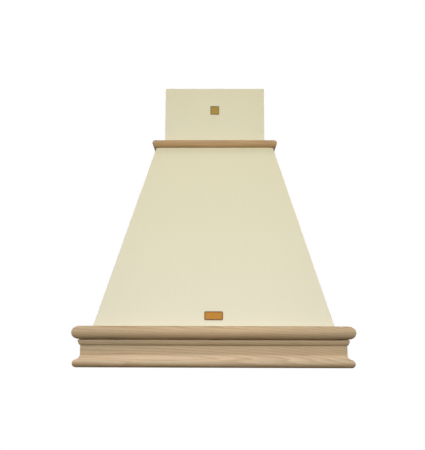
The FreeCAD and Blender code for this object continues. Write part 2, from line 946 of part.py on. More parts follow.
def tray_screw_places():
    """Screws in the middle of the rim: two a side, one in front and one behind."""
    side_x = (pan_x + tray_rim_x) / 2
    front_y = (pan_front + tray_rim_front) / 2
    back_y = (pan_back + tray_rim_back) / 2
    depth = back_y - front_y
    places = [(0, front_y), (0, back_y)]
    for side in (-1, 1):
        places.append((side * side_x, front_y + depth / 4))
        places.append((side * side_x, back_y - depth / 4))
    return places


def screw_holes():
    return [Circle(x, y, s.ScrewRadius + s.ScrewHoleGap) for x, y in tray_screw_places()]


def ledgers():
    body = new_body("tray_ledgers")
    loops = [
        box_loop(-rail_inner_x, rail_inner_y, rail_inner_x, ledger_inner_front),
        box_loop(-rail_inner_x, ledger_inner_back, rail_inner_x, -s.BackRailThick),
        box_loop(-rail_inner_x, ledger_inner_front, -ledger_inner_x, ledger_inner_back),
        box_loop(ledger_inner_x, ledger_inner_front, rail_inner_x, ledger_inner_back),
    ]
    for loop in loops:
        sketch = draw(body, "XY_Plane", loop, offset=s.LedgerHeight)
        pad(body, sketch, s.LedgerSize)
    holes = draw(body, "XY_Plane", *screw_holes(), offset=s.LedgerHeight)
    pocket(body, holes, s.ScrewLength, backwards=True)


def pan_limits(inset):
    return -(pan_x - inset), pan_front + inset, pan_x - inset, pan_back - inset


def filter_windows():
    """The two holes over the filters, smaller than the filters by their lap."""
    loops = []
    for side in (-1, 1):
        near_x = side * (filter_near_x + s.FilterLap)
        far_x = side * (filter_far_x - s.FilterLap)
        loops.append(box_loop(near_x, filter_front + s.FilterLap, far_x, hinge_y - s.FilterLap))
    return loops


def ear_loops():
    """Pivot ears, seen from above: one in the middle and one outside each filter."""
    half = s.EarThick / 2
    low_y, high_y = hinge_y - s.EarReach / 2, hinge_y + s.EarReach / 2
    ear_x = filter_far_x + s.SlideGap + s.EarThick
    return [
        box_loop(-half, low_y, half, high_y),
        box_loop(-ear_x, low_y, s.EarThick - ear_x, high_y),
        box_loop(ear_x - s.EarThick, low_y, ear_x, high_y),
    ]


def keeper_loops():
    """The folded stop in front of each latch nose."""
    high_y = filter_front - s.LatchNose - s.SlideGap
    loops = []
    for side in (-1, 1):
        middle = side * filter_mid_x
        half = s.LatchWidth / 2
        loops.append(box_loop(middle - half, high_y - s.TraySheet, middle + half, high_y))
    return loops


def tray():
    """Pressed tray: flat rim, drafted walls, raised field with its windows, ears and stops."""
    body = new_body("canopy_tray")
    rim = box_loop(-tray_rim_x, tray_rim_front, tray_rim_x, tray_rim_back)
    pad(body, draw(body, "XY_Plane", rim, offset=tray_foot), s.TraySheet)
    drafted = pan_limits(s.TrayDraft)
    frustum(body, "AdditiveWedge", pan_limits(0), drafted, tray_foot, field_top)
    hollow, hollow_top = pan_limits(s.TraySheet), pan_limits(s.TraySheet + s.TrayDraft)
    frustum(body, "SubtractiveWedge", hollow, hollow_top, tray_foot, field_foot)
    cutout = control_loop(s.ControlWidth / 2 - s.BezelThick, s.ControlDepth / 2 - s.BezelThick)
    lamp_x = field_x - s.LampInset
    lamp_hole = s.LampCanRadius + s.SlideGap
    lamps = [Circle(side * lamp_x, control_y, lamp_hole) for side in (-1, 1)]
    pocket(body, draw(body, "XY_Plane", *filter_windows(), cutout, *lamps, *screw_holes()))
    hang = field_foot - filter_foot
    for loop in ear_loops() + keeper_loops():
        pad(body, draw(body, "XY_Plane", loop, offset=filter_foot), hang)
    bore = Circle(hinge_y, hinge_z, s.HingePinRadius + s.HingePinGap)
    pocket(body, draw(body, "YZ_Plane", bore))


def hexagon(u, v, radius):
    """Six corners about u, v, two of them level with it."""
    half, rise = radius / 2, radius * root(3) / 2
    across = [(radius, 0), (half, rise), (-half, rise), (-radius, 0), (-half, -rise), (half, -rise)]
    return [at(u + run, v + lift) for run, lift in across]


def screw_group(node, places, seat, shank, head):
    """Screws driven upward: heads under the seat level and shanks above it."""
    body = new_body(node)
    heads = [head(x, y, s.ScrewHeadRadius) for x, y in places]
    sketch = draw(body, "XY_Plane", *heads, offset=seat)
    pad(body, sketch, s.ScrewHeadRise, backwards=True)
    shanks = [Circle(x, y, s.ScrewRadius) for x, y in places]
    pad(body, draw(body, "XY_Plane", *shanks, offset=seat), shank)


# ---------------------------------------------------------------- filters and latches


def filter_frame(side, name):
    """One filter's frame. Its rear edge is round about the hinge line, so it can turn."""
    body = new_body(f"filter_{name}_frame", 0, hinge_y, hinge_z)
    half = s.FilterThick / 2
    reach = filter_front - hinge_y
    section = [
        at(reach, -half),
        arc(0, -half, (0, 0), CCW),
        at(0, half),
        at(reach, half),
    ]
    near_x, far_x = side * filter_near_x, side * filter_far_x
    start = near_x if side > 0 else far_x
    width = filter_far_x - filter_near_x
    pad(body, draw(body, "YZ_Plane", section, offset=start), width)
    window = box_loop(
        side * (filter_near_x + s.FilterBorder),
        reach + s.FilterBorder,
        side * (filter_far_x - s.FilterBorder),
        -s.FilterBorder,
    )
    pocket(body, draw(body, "XY_Plane", window))
    slot_half = s.LatchWidth / 2 + s.SlideGap
    slot_end = reach + s.LatchLength + s.LatchTravel + s.SlideGap
    middle = side * filter_mid_x
    slot_start = reach - s.CutMargin
    slot = box_loop(middle - slot_half, slot_start, middle + slot_half, slot_end)
    sketch = draw(body, "XY_Plane", slot, offset=-half - s.CutMargin)
    pocket(body, sketch, s.LatchThick + s.SlideGap + s.CutMargin, backwards=True)
    wide = slot_half + s.LatchTongue
    groove = box_loop(middle - wide, slot_start, middle + wide, slot_end)
    sketch = draw(body, "XY_Plane", groove, offset=s.LatchThick / 2 - s.SlideGap - half)
    pocket(body, sketch, s.LatchThick / 2 + s.SlideGap * 2, backwards=True)
    pin = Circle(0, 0, s.HingePinRadius)
    inner_pin = filter_near_x - s.SlideGap
    outer_pin = s.SlideGap + s.EarThick + s.SlideGap
    pin_start = side * s.SlideGap if side > 0 else -filter_near_x
    pad(body, draw(body, "YZ_Plane", pin, offset=pin_start), inner_pin)
    pin_start = filter_far_x if side > 0 else -(filter_far_x + outer_pin)
    pad(body, draw(body, "YZ_Plane", pin, offset=pin_start), outer_pin)


def filter_mesh(side, name):
    """The slotted grease-catching pack that fills one filter frame."""
    body = new_body(f"filter_{name}_mesh", 0, hinge_y, hinge_z)
    reach = filter_front - hinge_y
    near_x = side * (filter_near_x + s.FilterBorder)
    far_x = side * (filter_far_x - s.FilterBorder)
    outline = box_loop(near_x, reach + s.FilterBorder, far_x, -s.FilterBorder)
    pad(body, draw(body, "XY_Plane", outline), s.MeshThick, both=True)
    mesh_x = filter_far_x - filter_near_x - s.FilterBorder * 2
    mesh_y = -reach - s.FilterBorder * 2
    across = whole((mesh_x - s.SlotLength - s.SlotMargin * 2) / s.SlotPitchAcross) + 1
    along = whole((mesh_y - s.SlotWidth - s.SlotMargin * 2) / s.SlotPitchAlong) + 1
    first_x = side * filter_mid_x - s.SlotPitchAcross * (across - 1) / 2
    first_y = reach / 2 - s.SlotPitchAlong * (along - 1) / 2
    slot = box_loop(
        first_x - s.SlotLength / 2,
        first_y - s.SlotWidth / 2,
        first_x + s.SlotLength / 2,
        first_y + s.SlotWidth / 2,
    )
    first = pocket(body, draw(body, "XY_Plane", slot))
    rows(
        body,
        first,
        ("X_Axis", s.SlotPitchAcross, across),
        ("Y_Axis", s.SlotPitchAlong, along),
    )


def filter_latch(side, name):
    """The sliding latch in the filter's front bar, with a finger lip below and a nose in front."""
    body = new_body(f"filter_{name}_latch", 0, hinge_y, hinge_z)
    foot = -s.FilterThick / 2
    start = filter_front - hinge_y - s.LatchNose
    end = start + s.LatchNose + s.LatchLength
    nose_rise = s.LatchThick / 2
    section = [
        at(start, foot + nose_rise),
        at(start + s.LatchNose, foot),
        at(end - s.LatchLip, foot),
        at(end - s.LatchLip, foot - s.LatchLip),
        at(end, foot - s.LatchLip),
        at(end, foot + s.LatchThick),
        at(start + s.LatchNose, foot + s.LatchThick),
    ]
    low_x = side * filter_mid_x - s.LatchWidth / 2
    pad(body, draw(body, "YZ_Plane", section, offset=low_x), s.LatchWidth)
    half = s.LatchWidth / 2 + s.LatchTongue
    middle = side * filter_mid_x
    tongues = box_loop(middle - half, start + s.LatchNose, middle + half, end)
    sketch = draw(body, "XY_Plane", tongues, offset=foot + s.LatchThick / 2)
    pad(body, sketch, s.LatchThick / 2)


# ---------------------------------------------------------------- lamps and control


def lamp(side, name):
    """A downlight in the tray: bezel ring under the sheet, a can above it, a lens in the ring."""
    place_x = side * (field_x - s.LampInset)
    housing = new_body(f"lamp_{name}_housing", place_x, control_y, field_foot)
    ring = s.LampLensRadius + s.SlideGap
    can_inner = s.LampCanRadius - s.TraySheet
    can_top = s.TraySheet + s.LampCanRise
    face = -s.BezelThick
    section = [
        at(ring, face),
        at(s.LampRadius - s.BezelChamfer, face),
        at(s.LampRadius, face + s.BezelChamfer),
        at(s.LampRadius, 0),
        at(s.LampCanRadius, 0),
        at(s.LampCanRadius, can_top),
        at(0, can_top),
        at(0, can_top - s.TraySheet),
        at(can_inner, can_top - s.TraySheet),
        at(can_inner, 0),
        at(ring, 0),
    ]
    revolve(housing, draw(housing, "XZ_Plane", section), "Z_Axis")
    lens = new_body(f"lamp_{name}_lens", place_x, control_y, field_foot)
    lens_face = face + s.SlideGap
    section = [
        at(0, lens_face),
        at(s.LampLensRadius - s.LensChamfer, lens_face),
        at(s.LampLensRadius, lens_face + s.LensChamfer),
        at(s.LampLensRadius, 0),
        at(0, 0),
    ]
    revolve(lens, draw(lens, "XZ_Plane", section), "Z_Axis")


def control_loop(half_x, half_y):
    return box_loop(-half_x, control_y - half_y, half_x, control_y + half_y)


def button_places():
    return [s.ButtonPitch * step for step in (-2, -1, 0, 1, 2)]


def button_windows(grow):
    half = s.ButtonSide / 2 + grow
    return [
        box_loop(x - half, control_y - half, x + half, control_y + half) for x in button_places()
    ]


def control():
    """Control strip: cover plate under the tray, switch block above, five push-buttons."""
    plate = new_body("control_plate")
    outline = control_loop(s.ControlWidth / 2, s.ControlDepth / 2)
    low = field_foot - s.BezelThick
    pad(plate, draw(plate, "XY_Plane", outline, offset=low), s.BezelThick)
    fillet(plate, upright, s.BezelThick)
    pocket(plate, draw(plate, "XY_Plane", *button_windows(s.ButtonGap)))
    block = new_body("switch_block")
    inset = s.BezelThick + s.SlideGap
    outline = control_loop(s.ControlWidth / 2 - inset, s.ControlDepth / 2 - inset)
    pad(block, draw(block, "XY_Plane", outline, offset=field_foot), s.SwitchRise)
    wells = draw(block, "XY_Plane", *button_windows(s.ButtonGap), offset=field_foot)
    button_reach = s.ButtonRise - s.ButtonProud - s.BezelThick
    pocket(block, wells, button_reach + s.ButtonTravel + s.WellGap, backwards=True)
    for number, x in enumerate(button_places(), start=1):
        foot = low - s.ButtonProud
        button = new_body(f"button_{number}", x, control_y, foot)
        half = s.ButtonSide / 2
        pad(button, draw(button, "XY_Plane", box_loop(-half, -half, half, half)), s.ButtonRise)
        fillet(button, upright, s.BezelThick / 2)


# ---------------------------------------------------------------- fan

hanger_foot = board_foot - s.HangerThick
transition_foot = hanger_foot - s.TransitionRise
fan_z = transition_foot - s.ThroatRise
throat_far = s.ScrollRadius + s.ScrollStep * 3
fan_y = duct_y - (s.ThroatNear + throat_far) / 2
scroll_half = s.ScrollWidth / 2
cheek_face = scroll_half + s.ScrollWall


def spiral(wall, turn):
    """The scroll's wall line as three arcs that swap centres and keep their tangents.

    wall is how far outside the air side the line runs. The line goes from the tongue over the
    top, down the front, under the wheel and up to the far side of the throat, or back.
    """
    step = s.ScrollStep
    near = s.ThroatNear - wall
    radius = s.ScrollRadius + wall
    tongue = at(near, root(radius * radius - near * near))
    front_point = at(-radius, 0)
    bottom_point = at(step, -(radius + step))
    far_point = at(step * 3 + radius, step)
    centres = [(0, 0), (step, 0), (step, step)]
    points = [tongue, front_point, bottom_point, far_point]
    if turn == CW:
        points.reverse()
        centres.reverse()
    corners = [arc(p.u, p.v, c, turn) for p, c in zip(points, centres)]
    return corners + [points[-1]]


def scroll_wrap():
    body = new_body("scroll_wrap", 0, fan_y, fan_z)
    wall = s.ScrollWall
    outline = [at(s.ThroatNear, s.ThroatRise)]
    outline += spiral(0, CCW)
    outline += [at(throat_far, s.ThroatRise), at(throat_far + wall, s.ThroatRise)]
    outline += spiral(wall, CW)
    outline += [at(s.ThroatNear - wall, s.ThroatRise)]
    pad(body, draw(body, "YZ_Plane", outline), s.ScrollWidth, both=True)


def scroll_cheek(side, name):
    """Side plate of the scroll with a bell-mouthed inlet."""
    body = new_body(f"scroll_{name}_cheek", 0, fan_y, fan_z)
    wall = s.ScrollWall
    outline = [at(s.ThroatNear - wall, s.ThroatRise)]
    outline += spiral(wall, CCW)
    outline += [at(throat_far + wall, s.ThroatRise)]
    start = scroll_half if side > 0 else -cheek_face
    hole = Circle(0, 0, s.InletRadius + s.InletShell / 2)
    pad(body, draw(body, "YZ_Plane", outline, hole, offset=start), wall)
    lip_centre = (side * scroll_half, s.InletRadius + s.InletLip)
    inner = s.InletLip - s.InletShell
    bell = [
        arc(side * scroll_half, s.InletRadius, lip_centre, CCW * side),
        at(side * (scroll_half + s.InletLip), s.InletRadius + s.InletLip),
        arc(side * (scroll_half + inner), s.InletRadius + s.InletLip, lip_centre, CW * side),
        at(side * scroll_half, s.InletRadius + s.InletShell),
    ]
    revolve(body, draw(body, "XZ_Plane", bell), "X_Axis")


def blade_loop():
    """A forward-curved blade at the top of the wheel: radial at its heel, turned 60 degrees."""
    heel = s.ImpellerRadius - s.BladeChord
    outer = s.BladeChord
    inner = outer - s.BladeThick
    centre = (outer, heel)
    rise = root(3) / 2
    return [
        arc(0, heel, centre, CW),
        at(outer / 2, heel + outer * rise),
        arc(outer - inner / 2, heel + inner * rise, centre, CCW),
        at(s.BladeThick, heel),
    ]


def impeller():
    """Double-inlet wheel: blades between two rings, carried by a disc with a hub."""
    body = new_body("impeller", 0, fan_y, fan_z)
    disc_half = s.DiscThick / 2
    hub_end = s.HubLength - disc_half
    hub = [
        at(-disc_half, s.ShaftRadius),
        at(hub_end, s.ShaftRadius),
        at(hub_end, s.HubRadius),
        at(disc_half, s.HubRadius),
        at(disc_half, s.ImpellerRadius),
        at(-disc_half, s.ImpellerRadius),
    ]
    revolve(body, draw(body, "XZ_Plane", hub), "X_Axis")
    blade = pad(body, draw(body, "YZ_Plane", blade_loop()), s.ImpellerWidth, both=True)
    polar(body, blade, "X_Axis", s.BladeCount)
    rings = [Circle(0, 0, s.ImpellerRadius), Circle(0, 0, s.ImpellerRadius - s.BladeChord)]
    half = s.ImpellerWidth / 2
    for start in (-half, half - s.ImpellerRing):
        pad(body, draw(body, "YZ_Plane", *rings, offset=start), s.ImpellerRing)
    shaft = new_body("fan_shaft", 0, fan_y, fan_z)
    shaft_start = motor_face - s.ShaftInMotor + s.SlideGap
    sketch = draw(shaft, "YZ_Plane", Circle(0, 0, s.ShaftRadius), offset=shaft_start)
    pad(shaft, sketch, hub_end + s.ShaftProud - shaft_start)


motor_face = -(s.DiscThick / 2 + s.MotorStandoff)
motor_back = motor_face - s.MotorLength
spider_face = -(scroll_half + s.InletLip + s.SpiderGap)


def motor():
    """Motor inside the wheel, its neck reaching out to the spider on the left cheek."""
    body = new_body("motor", 0, fan_y, fan_z)
    bore = s.ShaftRadius + s.ShaftGap
    bore_end = motor_face - s.ShaftInMotor
    rim = s.MotorRadius - s.MotorChamfer
    section = [
        at(spider_face, 0),
        at(bore_end, 0),
        at(bore_end, bore),
        at(motor_face, bore),
        at(motor_face, rim),
        at(motor_face - s.MotorChamfer, s.MotorRadius),
        at(motor_back + s.MotorChamfer, s.MotorRadius),
        at(motor_back, rim),
        at(motor_back, s.HubRadius),
        at(spider_face, s.HubRadius),
    ]
    revolve(body, draw(body, "XZ_Plane", section), "X_Axis")


def motor_spider():
    """Three-armed sheet bracket over the left inlet, its feet on the cheek."""
    body = new_body("motor_spider", 0, fan_y, fan_z)
    outer_face = spider_face - s.SpiderSheet
    disc = Circle(0, 0, s.SpiderDisc)
    pad(body, draw(body, "YZ_Plane", disc, offset=outer_face), s.SpiderSheet)
    half = s.SpiderArm / 2
    arm = box_loop(-half, 0, half, s.SpiderReach)
    feature = pad(body, draw(body, "YZ_Plane", arm, offset=outer_face), s.SpiderSheet)
    polar(body, feature, "X_Axis", s.SpiderArmCount)
    foot = box_loop(-half, s.SpiderReach - s.SpiderFoot, half, s.SpiderReach)
    sketch = draw(body, "YZ_Plane", foot, offset=outer_face)
    feature = pad(body, sketch, -cheek_face - outer_face)
    polar(body, feature, "X_Axis", s.SpiderArmCount)


# ---------------------------------------------------------------- outlet, hanger and duct collar

throat_half_y = (throat_far - s.ThroatNear) / 2
hanger_x = inner_half(board_foot) - s.StileWidth - s.HangerMargin
hanger_front = inner_front(board_foot) + s.BattenSize + s.HangerMargin
hanger_back = -(s.StileThick + s.HangerMargin)
gland_x = hanger_x - s.GlandSideInset
gland_y = hanger_back - s.GlandBackInset
duct_bore = s.DuctRadius - s.DuctWall
bead_foot = dome_top + s.BeadLift
bead_top = bead_foot + s.BeadRise
duct_top = bead_top + s.DuctReach
flap_z = bead_top + s.FlapHeight


def gland_hole():
    return Circle(gland_x, gland_y, s.GlandRadius + s.GlandHoleGap)


def hanger_screw_places():
    inset = s.HangerScrewInset
    x = hanger_x - inset
    return [(side * x, y) for side in (-1, 1) for y in (hanger_front + inset, hanger_back - inset)]


def flange_screw_places():
    reach = s.FlangeScrewCircle / root(2)
    return [(side * reach, duct_y + way * reach) for side in (-1, 1) for way in (-1, 1)]


def flange_screw_holes(centre_y):
    radius = s.ScrewRadius + s.ScrewHoleGap
    return [Circle(x, y - centre_y, radius) for x, y in flange_screw_places()]


def quartered_circle(radius):
    """A circle in four arcs that start where a rectangle has its corners."""
    reach = radius / root(2)
    return [
        arc(-reach, -reach, (0, 0), CCW),
        arc(reach, -reach, (0, 0), CCW),
        arc(reach, reach, (0, 0), CCW),
        arc(-reach, reach, (0, 0), CCW),
    ]


def outlet_transition():
    """Sheet-metal outlet from the scroll's rectangular throat to the round duct."""
    body = new_body("outlet_transition", 0, duct_y, 0)
    throat = box_loop(-scroll_half, -throat_half_y, scroll_half, throat_half_y)
    reach_x = scroll_half + s.FlangeReach
    reach_y = throat_half_y + s.FlangeReach
    rim = box_loop(-reach_x, -reach_y, reach_x, reach_y)
    pad(body, draw(body, "XY_Plane", rim, offset=transition_foot), s.FlangeThick)
    wall = s.DuctWall
    shell_x, shell_y = scroll_half + wall, throat_half_y + wall
    shell = box_loop(-shell_x, -shell_y, shell_x, shell_y)
    loft_foot = transition_foot + s.FlangeThick
    loft_top = hanger_foot - s.FlangeThick
    lower = draw(body, "XY_Plane", shell, offset=loft_foot)
    upper = draw(body, "XY_Plane", quartered_circle(s.DuctRadius), offset=loft_top)
    loft(body, lower, upper)
    ring = Circle(0, 0, s.CollarFlangeRadius)
    pad(body, draw(body, "XY_Plane", ring, offset=loft_top), s.FlangeThick)
    lower = draw(body, "XY_Plane", throat, offset=loft_foot)
    upper = draw(body, "XY_Plane", quartered_circle(duct_bore), offset=loft_top)
    loft(body, lower, upper, "SubtractiveLoft")
    foot = draw(body, "XY_Plane", throat, offset=transition_foot)
    pocket(body, foot, s.FlangeThick, backwards=True)
    bore = draw(body, "XY_Plane", Circle(0, 0, duct_bore), *flange_screw_holes(duct_y), offset=loft_top)
    pocket(body, bore, s.FlangeThick, backwards=True)


def hanger_plate():
    """Steel plate under the top board that the fan hangs from."""
    body = new_body("hanger_plate")
    outline = box_loop(-hanger_x, hanger_front, hanger_x, hanger_back)
    pad(body, draw(body, "XY_Plane", outline, offset=hanger_foot), s.HangerThick)
    radius = s.ScrewRadius + s.ScrewHoleGap
    holes = [Circle(0, duct_y, duct_bore), gland_hole()]
    holes += [Circle(x, y, radius) for x, y in hanger_screw_places() + flange_screw_places()]
    pocket(body, draw(body, "XY_Plane", *holes))


def duct_collar():
    """Round collar on the hanger plate with a stop bead, a flap seat and two pivot rods."""
    body = new_body("duct_collar", 0, duct_y, 0)
    outer = s.DuctRadius
    bead_r = outer + s.BeadProud
    flange_top = board_foot + s.CollarFlangeThick
    seat_r = duct_bore - s.SeatWidth
    seat_top = flap_z - s.FlapThick / 2 - s.SeatGap
    section = [
        at(duct_bore, board_foot),
        at(s.CollarFlangeRadius, board_foot),
        at(s.CollarFlangeRadius, flange_top),
        at(outer, flange_top),
        at(outer, bead_foot),
        at(bead_r, bead_foot),
        at(bead_r, bead_top),
        at(outer, bead_top),
        at(outer, duct_top),
        at(duct_bore, duct_top),
        at(duct_bore, seat_top),
        at(seat_r, seat_top),
        at(seat_r, seat_top - s.SeatRise),
        at(duct_bore, seat_top - s.SeatRise),
    ]
    revolve(body, draw(body, "XZ_Plane", section), "Z_Axis")
    rods = [Circle(way * s.FlapAxisOffset, flap_z, s.FlapRodRadius) for way in (-1, 1)]
    pad(body, draw(body, "YZ_Plane", *rods), duct_bore + outer, both=True)
    holes = draw(body, "XY_Plane", *flange_screw_holes(duct_y), offset=board_foot)
    pocket(body, holes, s.CollarFlangeThick, backwards=True)


def flap(way, name):
    """One half of the backdraught damper: a half disc with a barrel round its rod."""
    body = new_body(f"flap_{name}", 0, duct_y + way * s.FlapAxisOffset, flap_z)
    radius = duct_bore - s.FlapGap
    root_v = (s.FlapBarrel + s.FlapBore) / 2
    chord_v = s.FlapAxisOffset + root_v
    chord_u = root(radius * radius - chord_v * chord_v)
    centre = (0, -way * s.FlapAxisOffset)
    half_disc = [
        arc(way * chord_u, way * root_v, centre, CCW),
        at(-way * chord_u, way * root_v),
    ]
    pad(body, draw(body, "XY_Plane", half_disc), s.FlapThick, both=True)
    barrel = Circle(0, 0, s.FlapBarrel)
    barrel_length = (duct_bore - s.FlapBarrelInset) * 2
    pad(body, draw(body, "YZ_Plane", barrel), barrel_length, both=True)
    pocket(body, draw(body, "YZ_Plane", Circle(0, 0, s.FlapBore)))


# ---------------------------------------------------------------- mains terminal box and gland


def terminal_box():
    """Closed box on the back rail above the ledger, with its lid."""
    half_x, half_z = s.BoxLength / 2, s.BoxRise / 2
    centre_x = rail_inner_x - s.BoxInset - half_x
    centre_z = s.LedgerHeight + s.LedgerSize + s.TrayGap + half_z
    back = -s.BackRailThick
    outline = rounded_loop(half_x, half_z, s.BoxRound)
    box = new_body("terminal_box", centre_x, back, centre_z)
    pad(box, draw(box, "XZ_Plane", outline), s.BoxDepth)
    lid = new_body("terminal_box_lid", centre_x, back, centre_z)
    pad(lid, draw(lid, "XZ_Plane", outline, offset=s.BoxDepth), s.LidThick)


def cable_gland():
    """Gland through the top board beside the duct: its cap on the board, its locknut below."""
    body = new_body("cable_gland", gland_x, gland_y, hanger_foot)
    grip = s.HangerThick + s.TopBoardThick
    top = grip + s.GlandCapRise
    foot = -(s.LocknutRise + s.GlandTail)
    section = [
        at(s.GlandBore, foot),
        at(s.GlandRadius, foot),
        at(s.GlandRadius, grip),
        at(s.GlandCapRadius, grip),
        at(s.GlandCapRadius, top - s.GlandChamfer),
        at(s.GlandCapRadius - s.GlandChamfer, top),
        at(s.GlandBore, top),
    ]
    revolve(body, draw(body, "XZ_Plane", section), "Z_Axis")
    thread = Circle(0, 0, s.GlandRadius + s.LocknutGap)
    locknut = draw(body, "XY_Plane", hexagon(0, 0, s.LocknutRadius), thread)
    pad(body, locknut, s.LocknutRise, backwards=True)


# ---------------------------------------------------------------- build, check and write


def build():
    base_frame()
    dome()
    collar()
    chimney()
    brass_plates()
    ledgers()
    tray()
    for side, name in ((-1, "left"), (1, "right")):
        filter_frame(side, name)
        filter_mesh(side, name)
        filter_latch(side, name)
        lamp(side, name)
        scroll_cheek(side, name)
    control()
    scroll_wrap()
    impeller()
    motor()
    motor_spider()
    outlet_transition()
    hanger_plate()
    duct_collar()
    flap(-1, "front")
    flap(1, "back")
    terminal_box()
    cable_gland()
    tray_shank = s.TraySheet + s.ScrewLength - s.SlideGap
    screw_group("tray_screws", tray_screw_places(), tray_foot, tray_shank, Circle)
    board_shank = s.HangerThick + s.ScrewLength
    screw_group("hanger_screws", hanger_screw_places(), hanger_foot, board_shank, hexagon)
    flange_seat = hanger_foot - s.FlangeThick
    flange_shank = s.FlangeThick + s.HangerThick + s.CollarFlangeThick
    screw_group("outlet_screws", flange_screw_places(), flange_seat, flange_shank, hexagon)


def faults():
    """Objects that failed to compute, and bodies without a sound solid shape."""
    found = []
    for item in doc.Objects:
        if "Invalid" in item.State or "Error" in item.State:
            found.append(f"{item.Name} {item.State}")
    for body in bodies:
        shape = body.Shape
        if shape.isNull() or not shape.isValid() or not shape.Solids:
            found.append(f"{body.Label} has no valid shape")
    return found


def write_parts():
    os.makedirs("parts", exist_ok=True)
    for body in bodies:
        body.Shape.exportStep(os.path.join("parts", body.Label + ".step"))


build()
doc.recompute()
problems = faults()
if problems:
    raise RuntimeError("; ".join(problems))
write_parts()
print(len(bodies), "parts written")
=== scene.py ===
"""Looks of a wall hood with painted boards and raw wood mouldings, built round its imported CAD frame."""

import math

import bmesh
import bpy
from mathutils import Matrix, Vector


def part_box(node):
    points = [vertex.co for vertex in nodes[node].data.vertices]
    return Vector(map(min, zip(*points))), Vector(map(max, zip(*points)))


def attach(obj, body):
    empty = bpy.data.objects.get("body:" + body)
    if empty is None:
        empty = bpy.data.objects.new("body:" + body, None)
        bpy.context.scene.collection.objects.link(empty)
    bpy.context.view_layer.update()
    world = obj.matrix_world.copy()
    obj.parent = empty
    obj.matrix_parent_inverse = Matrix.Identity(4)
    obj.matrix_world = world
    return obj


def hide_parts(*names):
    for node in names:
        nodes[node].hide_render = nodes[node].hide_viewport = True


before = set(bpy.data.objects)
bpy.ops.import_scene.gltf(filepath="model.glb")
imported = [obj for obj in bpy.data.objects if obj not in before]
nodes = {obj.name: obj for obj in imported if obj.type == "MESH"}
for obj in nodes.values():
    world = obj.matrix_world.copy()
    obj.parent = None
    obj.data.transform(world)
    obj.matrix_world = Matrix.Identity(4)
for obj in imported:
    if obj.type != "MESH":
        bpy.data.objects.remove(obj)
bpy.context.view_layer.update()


# ---------------------------------------------------------------- camera, light and floor

CAMERA_PLACE = (0.0105, -1.782, 0.0865)
CAMERA_PITCH = 9.565
CAMERA_YAW = 0.585
CAMERA_ROLL = 0.17
FOCAL = 48
SENSOR = 36
AMBIENT_BELOW = 0.02
AMBIENT_ABOVE = 0.05
FLOOR_Z = -1.55
FLOOR_RADIUS = 5.0
# The floor fades out between this radius and its edge.
FLOOR_SOLID = 2.6
# How far the floor, as it is seen, is lifted towards plain white.
FLOOR_LIFT = 0.7
# Name, place, aim, size along its own x and y, and power in watts.
LAMPS = (
    ("key_softbox", (0, -1.66, 0.81), (0, -0.45, 0.05), (1.2, 0.5), 18),
    ("top_softbox", (0, -0.5, 2.4), (0, -0.35, 0.2), (1.4, 1.0), 10.5),
    ("right_softbox", (2.2, -0.7, 0.7), (0, -0.25, 0.3), (1.2, 1.4), 1.2),
    ("left_softbox", (-2.2, -0.7, 0.7), (0, -0.25, 0.3), (1.2, 1.4), 1.2),
    ("rear_softbox", (0, 2.4, 0.9), (0, 0, 0.3), (1.8, 1.4), 26),
)
X_AXIS = (1, 0, 0)
Y_AXIS = (0, 1, 0)
Z_AXIS = (0, 0, 1)


def srgb(red, green, blue):
    """A colour given as 0-255 display values, as linear RGBA."""
    out = []
    for value in (red, green, blue):
        v = value / 255
        out.append(v / 12.92 if v <= 0.04045 else ((v + 0.055) / 1.055) ** 2.4)
    return (*out, 1.0)


